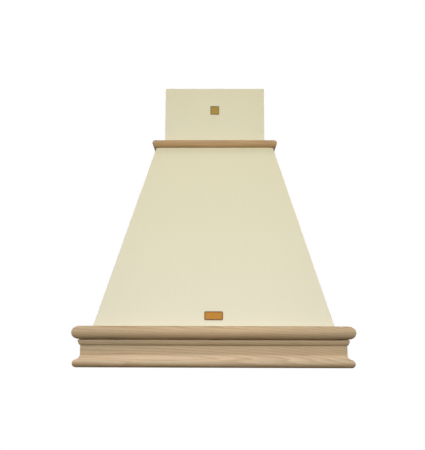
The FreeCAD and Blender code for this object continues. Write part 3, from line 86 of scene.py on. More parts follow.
class Graph:
    """A node tree, with short ways to add nodes and join them."""

    def __init__(self, tree):
        self.tree = tree

    def add(self, kind, inputs=None, **settings):
        node = self.tree.nodes.new(kind)
        for key, value in settings.items():
            setattr(node, key, value)
        for key, value in (inputs or {}).items():
            socket = node.inputs[key]
            if isinstance(value, bpy.types.NodeSocket):
                self.tree.links.new(value, socket)
            else:
                socket.default_value = value
        return node

    def math(self, operation, first, second=0.0):
        return self.add("ShaderNodeMath", {0: first, 1: second}, operation=operation).outputs[0]

    def dot(self, vector, direction):
        node = self.add("ShaderNodeVectorMath", {0: vector, 1: direction}, operation="DOT_PRODUCT")
        return node.outputs["Value"]

    def noise(self, vector, scale, detail=2.0, rough=0.5, distortion=0.0):
        """Noise stretched by a scale for each axis, from 0 to 1."""
        stretched = self.add("ShaderNodeVectorMath", {0: vector, 1: scale}, operation="MULTIPLY").outputs[0]
        inputs = {"Vector": stretched, "Scale": 1.0, "Detail": detail}
        inputs |= {"Roughness": rough, "Distortion": distortion}
        return self.add("ShaderNodeTexNoise", inputs).outputs["Fac"]

    def remap(self, value, low, high, to_low=0.0, to_high=1.0):
        """Takes low..high to to_low..to_high, and stops at both ends."""
        inputs = {0: value, 1: low, 2: high, 3: to_low, 4: to_high}
        return self.add("ShaderNodeMapRange", inputs, clamp=True).outputs[0]

    def spread(self, noise, to_low, to_high):
        """Takes the values that a noise mostly has to to_low..to_high."""
        return self.remap(noise, 0.2, 0.8, to_low, to_high)

    def average(self, first, second, share=0.5):
        """Two values added, the first one by its share."""
        rest = self.math("MULTIPLY", second, 1 - share)
        return self.math("ADD", self.math("MULTIPLY", first, share), rest)

    def mix(self, factor, first, second, blend="MIX"):
        inputs = {0: factor, 6: first, 7: second}
        return self.add("ShaderNodeMix", inputs, data_type="RGBA", blend_type=blend).outputs[2]

    def tint(self, colour, by):
        """A colour multiplied by another one."""
        return self.mix(1.0, colour, by, "MULTIPLY")

    def height(self, place):
        return self.add("ShaderNodeSeparateXYZ", {0: place}).outputs["Z"]

    def seen(self):
        """1 for rays that show a surface straight, mirrored or through glass, and 0 for the rest."""
        path = self.add("ShaderNodeLightPath")
        seen = self.math("MAXIMUM", path.outputs["Is Camera Ray"], path.outputs["Is Glossy Ray"])
        return self.math("MAXIMUM", seen, path.outputs["Is Transmission Ray"])

    def ramp(self, value, stops):
        """A tone that follows value through stops of (value, tone). Darker tones are warmer."""
        node = self.add("ShaderNodeValToRGB", {0: value})
        points = node.color_ramp.elements
        while len(points) < len(stops):
            points.new(0.5)
        for point, (place, tone) in zip(points, stops):
            point.position = place
            point.color = (tone, tone**1.2, tone**1.6, 1)
        return node.outputs["Color"]

    def shade(self, colour, value):
        """A colour made lighter or darker by a grey value about 1."""
        grey = self.add("ShaderNodeCombineColor", {0: value, 1: value, 2: value}).outputs[0]
        return self.tint(colour, grey)


def add_lamp(name, place, target, size, power):
    """A rectangular area lamp that the camera doesn't see."""
    data = bpy.data.lights.new(name, "AREA")
    data.shape = "RECTANGLE"
    data.size, data.size_y = size
    data.energy = power
    lamp = bpy.data.objects.new(name, data)
    bpy.context.scene.collection.objects.link(lamp)
    lamp.location = place
    lamp.rotation_euler = (Vector(target) - Vector(place)).to_track_quat("-Z", "Y").to_euler()
    lamp.visible_camera = False


def make_camera():
    data = bpy.data.cameras.new("camera")
    data.sensor_width = SENSOR
    data.lens = FOCAL
    camera = bpy.data.objects.new("camera", data)
    bpy.context.scene.collection.objects.link(camera)
    camera.location = CAMERA_PLACE
    turn = Matrix.Rotation(math.radians(90 + CAMERA_PITCH), 4, "X")
    roll = Matrix.Rotation(math.radians(CAMERA_ROLL), 4, "Z")
    yaw = Matrix.Rotation(math.radians(CAMERA_YAW), 4, "Z")
    camera.rotation_euler = (yaw @ turn @ roll).to_euler()
    bpy.context.scene.camera = camera


def make_world():
    """An even, weak light from all round, and plain white where the world itself is seen."""
    world = bpy.data.worlds.new("studio")
    bpy.context.scene.world = world
    world.use_nodes = True
    world.node_tree.nodes.clear()
    g = Graph(world.node_tree)
    direction = g.add("ShaderNodeTexCoord").outputs["Generated"]
    strength = g.remap(g.height(direction), -0.6, 0.9, AMBIENT_BELOW, AMBIENT_ABOVE)
    light = g.add("ShaderNodeBackground", {"Color": (1, 1, 1, 1), "Strength": strength})
    white = g.add("ShaderNodeBackground", {"Color": (1, 1, 1, 1), "Strength": 1.0})
    mixed = g.add("ShaderNodeMixShader", {0: g.seen(), 1: light.outputs[0], 2: white.outputs[0]})
    g.add("ShaderNodeOutputWorld", {0: mixed.outputs[0]})


def make_floor():
    """A pale round floor that takes the shadow and fades into the white round it."""
    mesh = bpy.data.meshes.new("floor")
    build = bmesh.new()
    bmesh.ops.create_circle(build, cap_ends=True, segments=96, radius=FLOOR_RADIUS)
    build.to_mesh(mesh)
    build.free()
    floor = bpy.data.objects.new("floor", mesh)
    bpy.context.scene.collection.objects.link(floor)
    floor.location.z = FLOOR_Z
    material = bpy.data.materials.new("pale_floor")
    material.use_nodes = True
    material.node_tree.nodes.clear()
    g = Graph(material.node_tree)
    place = g.add("ShaderNodeTexCoord").outputs["Object"]
    grain = g.noise(place, (30, 30, 30), 4)
    colour = g.mix(grain, (0.80, 0.80, 0.79, 1), (0.86, 0.86, 0.85, 1))
    matt = g.add("ShaderNodeBsdfDiffuse", {"Color": colour})
    white = g.add("ShaderNodeEmission", {"Color": (1, 1, 1, 1), "Strength": 1.0})
    lift = g.math("MULTIPLY", g.seen(), FLOOR_LIFT)
    lifted = g.add("ShaderNodeMixShader", {0: lift, 1: matt.outputs[0], 2: white.outputs[0]})
    radius = g.add("ShaderNodeVectorMath", {0: place}, operation="LENGTH").outputs["Value"]
    gone = g.remap(radius, FLOOR_SOLID, FLOOR_RADIUS * 0.98)
    clear = g.add("ShaderNodeBsdfTransparent")
    mixed = g.add("ShaderNodeMixShader", {0: gone, 1: lifted.outputs[0], 2: clear.outputs[0]})
    g.add("ShaderNodeOutputMaterial", {0: mixed.outputs[0]})
    mesh.materials.append(material)


make_camera()
make_world()
make_floor()
for lamp_values in LAMPS:
    add_lamp(*lamp_values)
bpy.context.scene.view_settings.view_transform = "Standard"


# ---------------------------------------------------------------- materials


class Finish(Graph):
    """A node material: one Principled surface with the texture nodes that feed it."""

    def __init__(self, name, **sockets):
        self.material = bpy.data.materials.new(name)
        self.material.use_nodes = True
        super().__init__(self.material.node_tree)
        self.shader = self.tree.nodes["Principled BSDF"]
        self.place = self.add("ShaderNodeTexCoord").outputs["Object"]
        for key, value in sockets.items():
            self.shader.inputs[key.replace("_", " ").title().replace("Ior", "IOR")].default_value = value

    def feed(self, socket, value):
        self.tree.links.new(value, self.shader.inputs[socket])

    def bump(self, height, depth, strength):
        """Bump of a real depth in metres, added to any bump before it."""
        inputs = {"Height": height, "Distance": depth, "Strength": strength}
        old = self.shader.inputs["Normal"]
        if old.links:
            inputs["Normal"] = old.links[0].from_socket
        node = self.add("ShaderNodeBump", inputs)
        self.feed("Normal", node.outputs[0])

    def board(self, along, across, mirrored=False):
        """Coordinates with the first one along the grain. Mirrored ones are alike left and right."""
        place = self.place
        if mirrored:
            x, y, z = self.add("ShaderNodeSeparateXYZ", {0: place}).outputs
            place = self.add("ShaderNodeCombineXYZ", {0: self.math("ABSOLUTE", x), 1: y, 2: z}).outputs[0]
        u = Vector(along).normalized()
        v = (Vector(across) - Vector(across).dot(u) * u).normalized()
        w = u.cross(v)
        parts = [self.dot(place, tuple(direction)) for direction in (u, v, w)]
        return self.add("ShaderNodeCombineXYZ", dict(enumerate(parts))).outputs[0]


# How far the middle of the rings strays to each side along a board.
PITH_WANDER = 0.022


def wood(
    name,
    along,
    across,
    light,
    dark,
    pith=(0.03, -0.09),
    tilt=(0.02, 0.05),
    ring=0.0052,
    contrast=0.55,
    pores=0.35,
    mirrored=False,
    tones=None,
):
    """Wood cut from a log whose rings run round a slightly tilted line, with fibres and pores along it.

    pith is where that line passes the board, across the grain and through it, and tilt its slope
    both ways, ring the width of a year, contrast how dark the late wood is, and tones a height with
    the tones of painted light and shade from the bottom up to it.
    """
    f = Finish(name, specular_ior_level=0.3)
    board = f.board(along, across, mirrored)
    shifted = f.add("ShaderNodeVectorMath", {0: board, 1: (3.1, 5.7, 1.9)}, operation="ADD").outputs[0]

    # distance from the pith, and the place within a ring, from early wood at 0 to late wood near 1
    wander_v = f.remap(f.noise(board, (1.8, 7, 7), 2), 0, 1, -PITH_WANDER, PITH_WANDER)
    wander_w = f.remap(f.noise(shifted, (1.4, 6, 6), 2), 0, 1, -PITH_WANDER, PITH_WANDER)
    u, v, w = f.add("ShaderNodeSeparateXYZ", {0: board}).outputs
    offset_v = f.math("ADD", f.math("ADD", v, f.math("MULTIPLY", u, tilt[0])), wander_v)
    offset_w = f.math("ADD", f.math("ADD", w, f.math("MULTIPLY", u, tilt[1])), wander_w)
    offset_v = f.math("SUBTRACT", offset_v, pith[0])
    offset_w = f.math("SUBTRACT", offset_w, pith[1])
    radius = f.math("SQRT", f.math("ADD", f.math("POWER", offset_v, 2), f.math("POWER", offset_w, 2)))
    fray = f.math("MULTIPLY", f.noise(board, (14, 420, 420), 3), 0.42)
    turn = f.math("FRACT", f.math("ADD", f.math("DIVIDE", radius, ring), fray))
    late = f.remap(turn, 0.15, 0.86)
    late = f.math("MULTIPLY", f.math("POWER", late, 1.8), f.remap(turn, 1.0, 0.93))

    # rings, fine streaks, warm and cool patches, broad bands, painted light and shade by height, and pores
    strength = f.remap(f.noise(board, (2.5, 30, 30), 2), 0.25, 0.75, contrast * 0.45, contrast)
    colour = f.mix(f.math("MULTIPLY", late, strength), light, dark)
    streak = f.noise(board, (9, 620, 620), 3, 0.6)
    colour = f.shade(colour, f.spread(streak, 0.945, 1.05))
    patch = f.remap(f.noise(shifted, (3.4, 26, 26), 2), 0.3, 0.7)
    colour = f.tint(colour, f.mix(patch, (1.055, 1.0, 0.94, 1), (0.925, 0.945, 0.95, 1)))
    broad = f.noise(board, (7, 70, 70), 2)
    colour = f.shade(colour, f.remap(broad, 0.3, 0.7, 0.935, 1.065))
    # painted light and shade: the colour is made lighter or darker by height, as light falls on the moulding
    if tones:
        top, stops = tones
        colour = f.tint(colour, f.ramp(f.math("DIVIDE", f.height(f.place), top), stops))
    pore = f.remap(f.noise(board, (110, 2600, 2600), 1), 0.60, 0.74)
    pore = f.math("MULTIPLY", pore, f.remap(turn, 0.9, 0.1, 0.35, 1.0))
    pore_colour = (*(0.45 * c for c in dark[:3]), 1)
    colour = f.mix(f.math("MULTIPLY", pore, pores), colour, pore_colour)

    f.feed("Base Color", colour)
    f.feed("Roughness", f.spread(streak, 0.56, 0.70))
    f.bump(f.math("SUBTRACT", streak, f.math("MULTIPLY", pore, 0.8)), 0.00012, 0.6)
    f.bump(late, 0.00006, 0.5)
    return f.material


def paint(name, colour, along, across):
    """Satin paint on an open-pored veneer: the grain shows faintly, and painted light makes the paint
    yellower higher up and paler lower down.
    """
    f = Finish(name, specular_ior_level=0.4)
    board = f.board(along, across)
    cloud = f.noise(board, (2.6, 5, 5), 3)
    vein = f.noise(board, (2.2, 150, 150), 3, 0.62, 0.4)
    fine = f.noise(board, (16, 900, 900), 2)
    peel = f.noise(f.place, (950, 950, 950), 1)
    cloud_tone = f.remap(cloud, 0.25, 0.75, 0.992, 1.008)
    vein_tone = f.remap(vein, 0.25, 0.75, 0.992, 1.006)
    # painted light and sheen: yellower and darker towards the top, paler and bluer towards the bottom
    painted_sheen_tint = f.mix(f.remap(f.height(f.place), 0.09, 0.70), (1.0, 1.0, 1.05, 1), (0.985, 0.975, 0.90, 1))
    f.feed("Base Color", f.shade(f.tint(painted_sheen_tint, colour), f.math("MULTIPLY", cloud_tone, vein_tone)))
    f.feed("Roughness", f.remap(vein, 0.3, 0.7, 0.38, 0.50))
    f.bump(vein, 0.00022, 0.5)
    f.bump(f.math("ADD", fine, peel), 0.00004, 0.5)
    return f.material


def brushed(name, colour, along, across, rough):
    """Metal with fine parallel brush lines."""
    f = Finish(name, metallic=1.0)
    line = f.noise(f.board(along, across), (7, 1500, 1500), 3, 0.6)
    smear = f.noise(f.place, (14, 14, 14), 3)
    value = f.math("MULTIPLY", f.spread(line, 0.94, 1.06), f.spread(smear, 0.97, 1.03))
    f.feed("Base Color", f.shade(colour, value))
    f.feed("Roughness", f.remap(f.average(line, smear, 0.6), 0.25, 0.75, rough - 0.06, rough + 0.1))
    f.bump(line, 0.00003, 0.6)
    return f.material


def satin_metal(name, colour, rough, grain=420.0):
    """Anodised, plated or turned metal: even, with a fine grain."""
    f = Finish(name, metallic=1.0)
    fine = f.noise(f.place, (grain, grain, grain), 3)
    smear = f.noise(f.place, (26, 26, 26), 3)
    f.feed("Base Color", f.shade(colour, f.spread(smear, 0.95, 1.04)))
    f.feed("Roughness", f.remap(f.average(fine, smear), 0.3, 0.7, rough - 0.07, rough + 0.09))
    f.bump(fine, 0.00002, 0.5)
    return f.material


def galvanised(name, colour):
    """Hot-dipped zinc: flat crystals that each catch the light a little differently."""
    f = Finish(name, metallic=1.0)
    bend = f.shade((0.01, 0.01, 0.01, 1), f.noise(f.place, (60, 60, 60), 2))
    moved = f.add("ShaderNodeVectorMath", {0: f.place, 1: bend}, operation="ADD").outputs[0]
    cells = f.add("ShaderNodeTexVoronoi", {"Vector": moved, "Scale": 120.0})
    crystal = f.dot(cells.outputs["Color"], (0.4, 0.35, 0.25))
    dull = f.noise(f.place, (9, 9, 9), 3)
    value = f.math("MULTIPLY", f.remap(crystal, 0.1, 0.9, 0.86, 1.08), f.remap(dull, 0.25, 0.75, 0.94, 1.04))
    f.feed("Base Color", f.shade(colour, value))
    f.feed("Roughness", f.remap(crystal, 0.1, 0.9, 0.34, 0.52))
    f.bump(f.noise(f.place, (700, 700, 700), 2), 0.00002, 0.4)
    return f.material


def plastic(name, colour, rough, speckle=0.05, texture=1300.0):
    """Moulded plastic or enamel with a fine texture."""
    f = Finish(name, specular_ior_level=0.45)
    fine = f.noise(f.place, (texture, texture, texture), 2)
    cloud = f.noise(f.place, (18, 18, 18), 3)
    value = f.math("MULTIPLY", f.spread(fine, 1 - speckle, 1 + speckle), f.spread(cloud, 0.97, 1.03))
    f.feed("Base Color", f.shade(colour, value))
    f.feed("Roughness", f.remap(cloud, 0.25, 0.75, rough - 0.06, rough + 0.07))
    f.bump(fine, 0.00004, 0.6)
    return f.material


def brass(name, centre, lean, half_u, half_v, rim, field_low, field_high, edge_colour):
    """Amber brass, darker in the rim and where the rim meets the field.

    centre is the plate's middle, lean its slope back, half_u and half_v are half its width and
    height, and rim is the rim's width.
    """
    f = Finish(name, metallic=0.35, specular_ior_level=0.3)
    local = f.add("ShaderNodeVectorMath", {0: f.place, 1: centre}, operation="SUBTRACT").outputs[0]
    up = Vector((0, lean, 1)).normalized()
    inside_u = f.math("SUBTRACT", half_u, f.math("ABSOLUTE", f.dot(local, X_AXIS)))
    inside_v = f.math("SUBTRACT", half_v, f.math("ABSOLUTE", f.dot(local, tuple(up))))
    dark = f.remap(f.math("MINIMUM", inside_u, inside_v), rim * 1.9, rim * 0.8)
    brush = f.noise(f.place, (30, 1600, 1600), 3)
    cloud = f.noise(f.place, (120, 120, 120), 3)
    field = f.mix(cloud, field_low, field_high)
    colour = f.mix(f.math("MULTIPLY", dark, 0.85), field, edge_colour)
    f.feed("Base Color", f.shade(colour, f.spread(brush, 0.93, 1.06)))
    f.feed("Roughness", f.remap(f.average(brush, cloud), 0.3, 0.7, 0.30, 0.46))
    f.bump(brush, 0.00002, 0.5)
    return f.material


# The thickness of one ply.
PLY_THICK = 0.0032


def plywood(name):
    """Face veneer with its grain across, and plies of turning grain on the edges."""
    f = Finish(name, roughness=0.6, specular_ior_level=0.3)
    board = f.board(X_AXIS, Y_AXIS)
    z = f.height(f.place)
    streak = f.noise(board, (9, 260, 260), 3, 0.6)
    figure = f.noise(board, (3, 34, 34), 3, 0.5, 1.2)
    face = f.mix(f.remap(figure, 0.35, 0.68), srgb(214, 186, 144), srgb(188, 154, 108))
    ply = f.math("FRACT", f.math("DIVIDE", z, PLY_THICK))
    glue = f.math("MULTIPLY", f.remap(ply, 0.90, 0.97), f.remap(ply, 1.0, 0.985))
    turned = f.math("GREATER_THAN", f.math("FRACT", f.math("DIVIDE", z, 2 * PLY_THICK)), 0.5)
    edge = f.mix(turned, srgb(206, 176, 132), srgb(166, 128, 84))
    edge = f.mix(glue, edge, srgb(92, 62, 36))
    normal = f.add("ShaderNodeNewGeometry").outputs["Normal"]
    flat = f.math("GREATER_THAN", f.math("ABSOLUTE", f.dot(normal, Z_AXIS)), 0.7)
    f.feed("Base Color", f.shade(f.mix(flat, edge, face), f.spread(streak, 0.93, 1.05)))
    f.bump(streak, 0.0001, 0.5)
    return f.material


def frosted_glass(name):
    """Glass that scatters what shines through it."""
    f = Finish(name, transmission_weight=0.92, ior=1.46)
    f.shader.inputs["Base Color"].default_value = (0.93, 0.95, 0.95, 1)
    fine = f.noise(f.place, (900, 900, 900), 2)
    f.feed("Roughness", f.remap(fine, 0.3, 0.7, 0.38, 0.52))
    f.bump(fine, 0.00005, 0.5)
    return f.material


def put(material, *names):
    """Gives the CAD nodes this material in every slot."""
    for name in names:
        mesh = nodes[name].data
        if not mesh.materials:
            mesh.materials.append(material)
        for index in range(len(mesh.materials)):
            mesh.materials[index] = material


BEECH_LIGHT = srgb(200, 176, 142)
BEECH_DARK = srgb(160, 129, 92)
COLLAR_LIGHT = srgb(184, 153, 110)
COLLAR_DARK = srgb(148, 111, 68)
PINE_LIGHT = srgb(226, 196, 146)
PINE_DARK = srgb(190, 142, 84)
CREAM = srgb(225, 219, 189)
# The base frame's height, and the painted light and shade on its raw moulding at each share of it
# from the bottom up: a painted highlight on the upward-facing cove and top of the nose, and painted
# shade under the nose, in the step under the ovolo, in the quirk and on the lower half of the bullnose.
RAIL_PAINTED_LIGHT_AND_SHADE = (
    0.0865,
    (
        (0.000, 0.62),
        (0.040, 0.74),
        (0.085, 0.92),
        (0.135, 1.14),
        (0.190, 1.31),
        (0.298, 1.23),
        (0.318, 1.06),
        (0.500, 1.04),
        (0.528, 0.84),
        (0.545, 0.81),
        (0.560, 0.95),
        (0.640, 0.98),
        (0.665, 0.93),
        (0.690, 0.93),
        (0.740, 0.89),
        (0.810, 0.95),
        (0.900, 0.97),
        (1.000, 0.97),
    ),
)
# How far the dome's sides and its front lean in for each unit of height.
SIDE_LEAN = 0.23993
FRONT_LEAN = 0.41785

for side, along, across, pith, tilt in (
    ("front", X_AXIS, Y_AXIS, (-0.46, -0.02), (0.03, 0.09)),
    ("left", Y_AXIS, X_AXIS, (-0.20, 0.02), (-0.02, 0.06)),
    ("right", Y_AXIS, X_AXIS, (0.35, 0.01), (0.03, -0.05)),
):
    beech = (BEECH_LIGHT, BEECH_DARK, pith, tilt)
    put(wood(f"beech_{side}", along, across, *beech, contrast=0.56, tones=RAIL_PAINTED_LIGHT_AND_SHADE), f"base_{side}_rail")
put(
    wood("collar_wood_front", X_AXIS, Y_AXIS, COLLAR_LIGHT, COLLAR_DARK, pith=(-0.20, 0.50), ring=0.004),
    "collar_front",
)
put(
    wood("collar_wood_side", Y_AXIS, X_AXIS, COLLAR_LIGHT, COLLAR_DARK, pith=(-0.25, 0.50), ring=0.004),
    "collar_left",
    "collar_right",
)
put(
    wood("pine_across", X_AXIS, Y_AXIS, PINE_LIGHT, PINE_DARK, pith=(0.07, 0.12), ring=0.0066, pores=0.05),
    "base_back_rail",
    "hanging_rail",
    "chimney_tie",
    "dome_foot_cleats",
    "tray_ledgers",
)
put(
    wood("pine_upright", Z_AXIS, X_AXIS, PINE_LIGHT, PINE_DARK, pith=(0.05, -0.07), ring=0.0058, pores=0.05),
    "chimney_battens",
    "base_corner_blocks",
)
put(
    wood(
        "pine_leaning",
        (-SIDE_LEAN, 0, 1),
        X_AXIS,
        PINE_LIGHT,
        PINE_DARK,
        pith=(0.32, 0.05),
        ring=0.0061,
        pores=0.05,
        mirrored=True,
    ),
    "dome_stiles",
)
put(
    wood(
        "pine_corner",
        (-SIDE_LEAN, FRONT_LEAN, 1),
        X_AXIS,
        PINE_LIGHT,
        PINE_DARK,
        pith=(0.34, 0.12),
        ring=0.0055,
        pores=0.05,
        mirrored=True,
    ),
    "dome_corner_battens",
)
put(plywood("birch_plywood"), "top_board")
put(paint("cream_front", CREAM, (0, FRONT_LEAN, 1), X_AXIS), "dome_front_panel")
put(paint("cream_side", CREAM, Z_AXIS, Y_AXIS), "dome_left_panel", "dome_right_panel")
put(
    paint("cream_chimney", CREAM, Z_AXIS, X_AXIS),
    "chimney_front_panel",
    "chimney_left_panel",
    "chimney_right_panel",
)
plate_low, plate_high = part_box("dome_plate")
badge_low, badge_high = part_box("chimney_badge")
put(
    brass(
        "amber_brass",
        centre=tuple((plate_low + plate_high) / 2),
        lean=FRONT_LEAN,
        half_u=0.0205,
        half_v=0.0100,
        rim=0.0016,
        field_low=srgb(138, 90, 8),
        field_high=srgb(152, 102, 14),
        edge_colour=srgb(86, 55, 6),
    ),
    "dome_plate",
)
put(
    brass(
        "gilt_badge",
        centre=tuple((badge_low + badge_high) / 2),
        lean=0,
        half_u=0.01145,
        half_v=0.01145,
        rim=0.0014,
        field_low=srgb(114, 90, 20),
        field_high=srgb(130, 106, 28),
        edge_colour=srgb(84, 64, 12),
    ),
    "chimney_badge",
)
put(brushed("tray_steel_brushed", (0.60, 0.60, 0.59, 1), X_AXIS, Y_AXIS, 0.32), "canopy_tray")
put(brushed("panel_steel_brushed", (0.52, 0.52, 0.52, 1), X_AXIS, Y_AXIS, 0.28), "control_plate")
put(satin_metal("lamp_satin", (0.66, 0.66, 0.65, 1), 0.30), "lamp_left_housing", "lamp_right_housing")
put(satin_metal("filter_satin", (0.62, 0.62, 0.61, 1), 0.36), "filter_left_frame", "filter_right_frame")
pack_finish = satin_metal("filter_pack", (0.56, 0.56, 0.55, 1), 0.40, 900)
put(satin_metal("shaft_ground", (0.58, 0.58, 0.57, 1), 0.22, 1500), "fan_shaft")
put(satin_metal("button_polished", (0.74, 0.74, 0.74, 1), 0.14), *[f"button_{i}" for i in range(1, 6)])
zinc_finish = satin_metal("zinc_plate", (0.64, 0.65, 0.60, 1), 0.30)
put(zinc_finish, "hanger_screws", "outlet_screws")
put(
    galvanised("zinc_sheet", (0.56, 0.58, 0.59, 1)),
    "scroll_wrap",
    "scroll_left_cheek",
    "scroll_right_cheek",
    "motor_spider",
    "outlet_transition",
    "hanger_plate",
)
put(plastic("wheel_plastic", (0.030, 0.031, 0.033, 1), 0.46), "impeller")
put(plastic("latch_black", (0.035, 0.035, 0.036, 1), 0.42), "filter_left_latch", "filter_right_latch")
put(plastic("switch_dark", (0.050, 0.050, 0.052, 1), 0.5), "switch_block")
put(plastic("duct_dark", (0.060, 0.061, 0.064, 1), 0.52), "duct_collar", "flap_front", "flap_back")
put(plastic("gland_black", (0.032, 0.032, 0.033, 1), 0.5), "cable_gland")
put(plastic("box_pale", (0.56, 0.56, 0.53, 1), 0.5), "terminal_box", "terminal_box_lid")
put(plastic("motor_black", (0.040, 0.041, 0.043, 1), 0.34, 0.03, 600), "motor")
put(frosted_glass("lens_frosted"), "lamp_left_lens", "lamp_right_lens")


# ---------------------------------------------------------------- softened edges


# Points closer than this are joined before the edges are rounded.
WELD_REACH = 0.00001
# Edges that turn by more than this many degrees are rounded.
SHARP_TURN = 35
# How far: sawn pieces, painted boards and the two small plates.
SAWN_ROUND = 0.0007
BOARD_ROUND = 0.0005
PLATE_ROUND = 0.0003


def soften(width, *names):
    """Breaks the sharp edges of sawn and pressed pieces by a small round."""
    for name in names:
        weld = nodes[name].modifiers.new("weld", "WELD")
        weld.merge_threshold = WELD_REACH
        bevel = nodes[name].modifiers.new("soft_edge", "BEVEL")
        bevel.width = width
        bevel.segments = 2
        bevel.limit_method = "ANGLE"
        bevel.angle_limit = math.radians(SHARP_TURN)
        bevel.harden_normals = True


soften(
    SAWN_ROUND,
    "base_back_rail",
    "base_corner_blocks",
    "dome_corner_battens",
    "dome_stiles",
    "dome_foot_cleats",
    "chimney_battens",
    "chimney_tie",
)
soften(BOARD_ROUND, "dome_front_panel", "dome_left_panel", "dome_right_panel")
soften(BOARD_ROUND, "chimney_front_panel", "chimney_left_panel", "chimney_right_panel")
soften(PLATE_ROUND, "dome_plate", "chimney_badge")


# ---------------------------------------------------------------- filter packs and tray screws


def new_piece(name, build, material, body, slot, *replaced):
    """A finished mesh that rides a CAD body in place of CAD nodes."""
    mesh = bpy.data.meshes.new(name)
    bmesh.ops.recalc_face_normals(build, faces=build.faces)
    build.to_mesh(mesh)
    build.free()
    mesh.materials.append(material)
    piece = bpy.data.objects.new(name, mesh)
    bpy.context.scene.collection.objects.link(piece)
    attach(piece, body)
    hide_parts(*replaced)


def bridge(build, near, far):
    """Quads between two rings of the same count."""
    for i in range(len(near)):
        j = (i + 1) % len(near)
        build.faces.new((near[i], near[j], far[j], far[i]))


def loft(build, rings, closed_ends=True):
    """Joins rings of points, each of the same count, with quads."""
    made = [[build.verts.new(point) for point in ring] for ring in rings]
    for near, far in zip(made, made[1:]):
        bridge(build, near, far)
    if closed_ends:
        build.faces.new(made[0])
        build.faces.new(made[-1])
    return made


STRAND_WIDTH = 0.0020
STRAND_THICK = 0.0005
STRAND_TILT = math.radians(38)
DIAMOND_LENGTH = 0.012
DIAMOND_RISE = 0.006
BOND = 0.0018
LAYER_INSET = 0.0013
RIM = 0.0022
RIM_SOFT = 0.0004


def strand_section():
    """The four corners of a tilted strand, as offsets along y and z."""
    wide = (math.cos(STRAND_TILT) * STRAND_WIDTH / 2, math.sin(STRAND_TILT) * STRAND_WIDTH / 2)
    thick = (-math.sin(STRAND_TILT) * STRAND_THICK / 2, math.cos(STRAND_TILT) * STRAND_THICK / 2)
    signs = ((1, 1), (-1, 1), (-1, -1), (1, -1))
    return [(a * wide[0] + b * thick[0], a * wide[1] + b * thick[1]) for a, b in signs]


def expanded_layer(build, low, high, height, start):
    """One sheet of expanded metal: zigzag strands that meet at short bonds. start shifts its pattern."""
    section = strand_section()
    step = DIAMOND_LENGTH / 2
    swing = DIAMOND_RISE / 2 - STRAND_THICK / 2
    y = low.y + DIAMOND_RISE / 2 + start * DIAMOND_RISE / 2
    turn = 1
    while y + swing < high.y:
        path = []
        x = low.x
        side = turn
        while x < high.x:
            for place in (x - BOND / 2, x + BOND / 2):
                path.append((min(max(place, low.x), high.x), y + side * swing))
            x += step
            side = -side
        rings = [[(px, py + dy, height + dz) for dy, dz in section] for px, py in path]
        loft(build, rings)
        y += DIAMOND_RISE
        turn = -turn


def rim_ring(build, low, high):
    """A thin channel round the pack, folded from strip, with softened edges."""
    corners = ((low.x, low.y), (high.x, low.y), (high.x, high.y), (low.x, high.y))
    inward = ((1, 1), (-1, 1), (-1, -1), (1, -1))
    outline = (
        (0, low.z + RIM_SOFT),
        (RIM_SOFT, low.z),
        (RIM - RIM_SOFT, low.z),
        (RIM, low.z + RIM_SOFT),
        (RIM, high.z - RIM_SOFT),
        (RIM - RIM_SOFT, high.z),
        (RIM_SOFT, high.z),
        (0, high.z - RIM_SOFT),
    )
    rings = [
        [(cx + ix * reach, cy + iy * reach, z) for reach, z in outline]
        for (cx, cy), (ix, iy) in zip(corners, inward)
    ]
    made = loft(build, rings, closed_ends=False)
    bridge(build, made[-1], made[0])


def filter_pack(side):
    """Three sheets of expanded metal in a folded rim."""
    node = f"filter_{side}_mesh"
    low, high = (Vector(corner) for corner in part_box(node))
    build = bmesh.new()
    rim_ring(build, low, high)
    inset = Vector((RIM / 2, RIM / 2, 0))
    inner_low, inner_high = low + inset, high - inset
    expanded_layer(build, inner_low, inner_high, low.z + LAYER_INSET, 0)
    expanded_layer(build, inner_low, inner_high, (low.z + high.z) / 2, 0.5)
    expanded_layer(build, inner_low, inner_high, high.z - LAYER_INSET, 1)
    new_piece(f"filter_{side}_pack", build, pack_finish, f"filter_{side}", "filter_aluminium", node)


SCREW_PLACES = (
    (0, -0.429),
    (0, -0.029),
    (-0.229, -0.329),
    (0.229, -0.329),
    (-0.229, -0.129),
    (0.229, -0.129),
)
SCREW_SIDES = 24
# The head's outline as (radius, rise from the screw's lowest point), up to its neck.
SCREW_HEAD = (
    (0.0027, 0),
    (0.0034, 0.00015),
    (0.0038, 0.0006),
    (0.004, 0.0013),
    (0.004, 0.0024),
    (0.0019, 0.0024),
)
THREAD_START = 0.0031
THREAD_PITCH = 0.0012
THREAD_FLANK = 0.0004
THREAD_CORE = 0.0013
THREAD_CREST = 0.00174
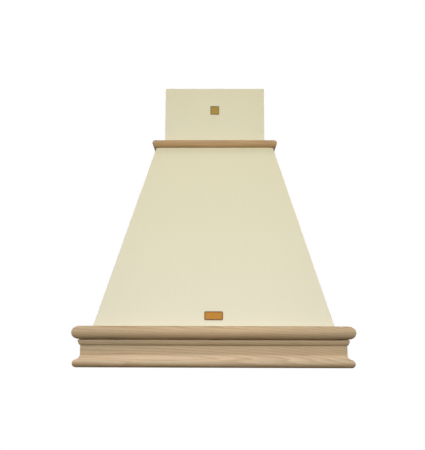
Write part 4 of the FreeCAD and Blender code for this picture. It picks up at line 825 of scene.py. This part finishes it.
# The last turn starts this far from the end, and the point is this long.
THREAD_STOP = 0.0026
POINT_LENGTH = 0.0014
POINT_RADIUS = 0.0012
TIP_RADIUS = 0.0002
RECESS_REACH = 0.0019
RECESS_HALF = 0.00045
RECESS_DEPTH = 0.0013
RECESS_TAPER = 0.62


def pan_screw(build, x, y, low, high):
    """A pan-head screw pointing up: a domed head with a cross recess, and a threaded shank."""
    length = high - low
    profile = list(SCREW_HEAD)
    z = THREAD_START
    while z < length - THREAD_STOP:
        profile += [(THREAD_CORE, z), (THREAD_CREST, z + THREAD_FLANK), (THREAD_CORE, z + 2 * THREAD_FLANK)]
        z += THREAD_PITCH
    profile += [(POINT_RADIUS, length - POINT_LENGTH), (TIP_RADIUS, length)]
    angles = [2 * math.pi * i / SCREW_SIDES for i in range(SCREW_SIDES)]
    rings = [
        [(x + radius * math.cos(a), y + radius * math.sin(a), low + rise) for a in angles]
        for radius, rise in profile
    ]
    made = loft(build, rings, closed_ends=False)
    build.faces.new(made[-1])

    # the cross recess, and the flat ring of the head round its mouth
    r, h = RECESS_REACH, RECESS_HALF
    arms = ((r, -h), (r, h), (h, h), (h, r), (-h, r), (-h, h))
    cross = arms + tuple((-u, -v) for u, v in arms)
    mouth = [build.verts.new((x + u, y + v, low)) for u, v in cross]
    bottom = low + RECESS_DEPTH
    floor = [build.verts.new((x + u * RECESS_TAPER, y + v * RECESS_TAPER, bottom)) for u, v in cross]
    bridge(build, mouth, floor)
    build.faces.new(floor)
    edges = [build.edges.get(pair) for ring in (mouth, made[0]) for pair in zip(ring, ring[1:] + ring[:1])]
    bmesh.ops.triangle_fill(build, use_beauty=True, edges=edges)


def tray_screws():
    """The six screws that hold the tray up, in place of the plain ones."""
    low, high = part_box("tray_screws")
    build = bmesh.new()
    for x, y in SCREW_PLACES:
        pan_screw(build, x, y, low[2], high[2])
    new_piece("tray_pan_screws", build, zinc_finish, "hood", "zinc_screw", "tray_screws")


filter_pack("left")
filter_pack("right")
tray_screws()
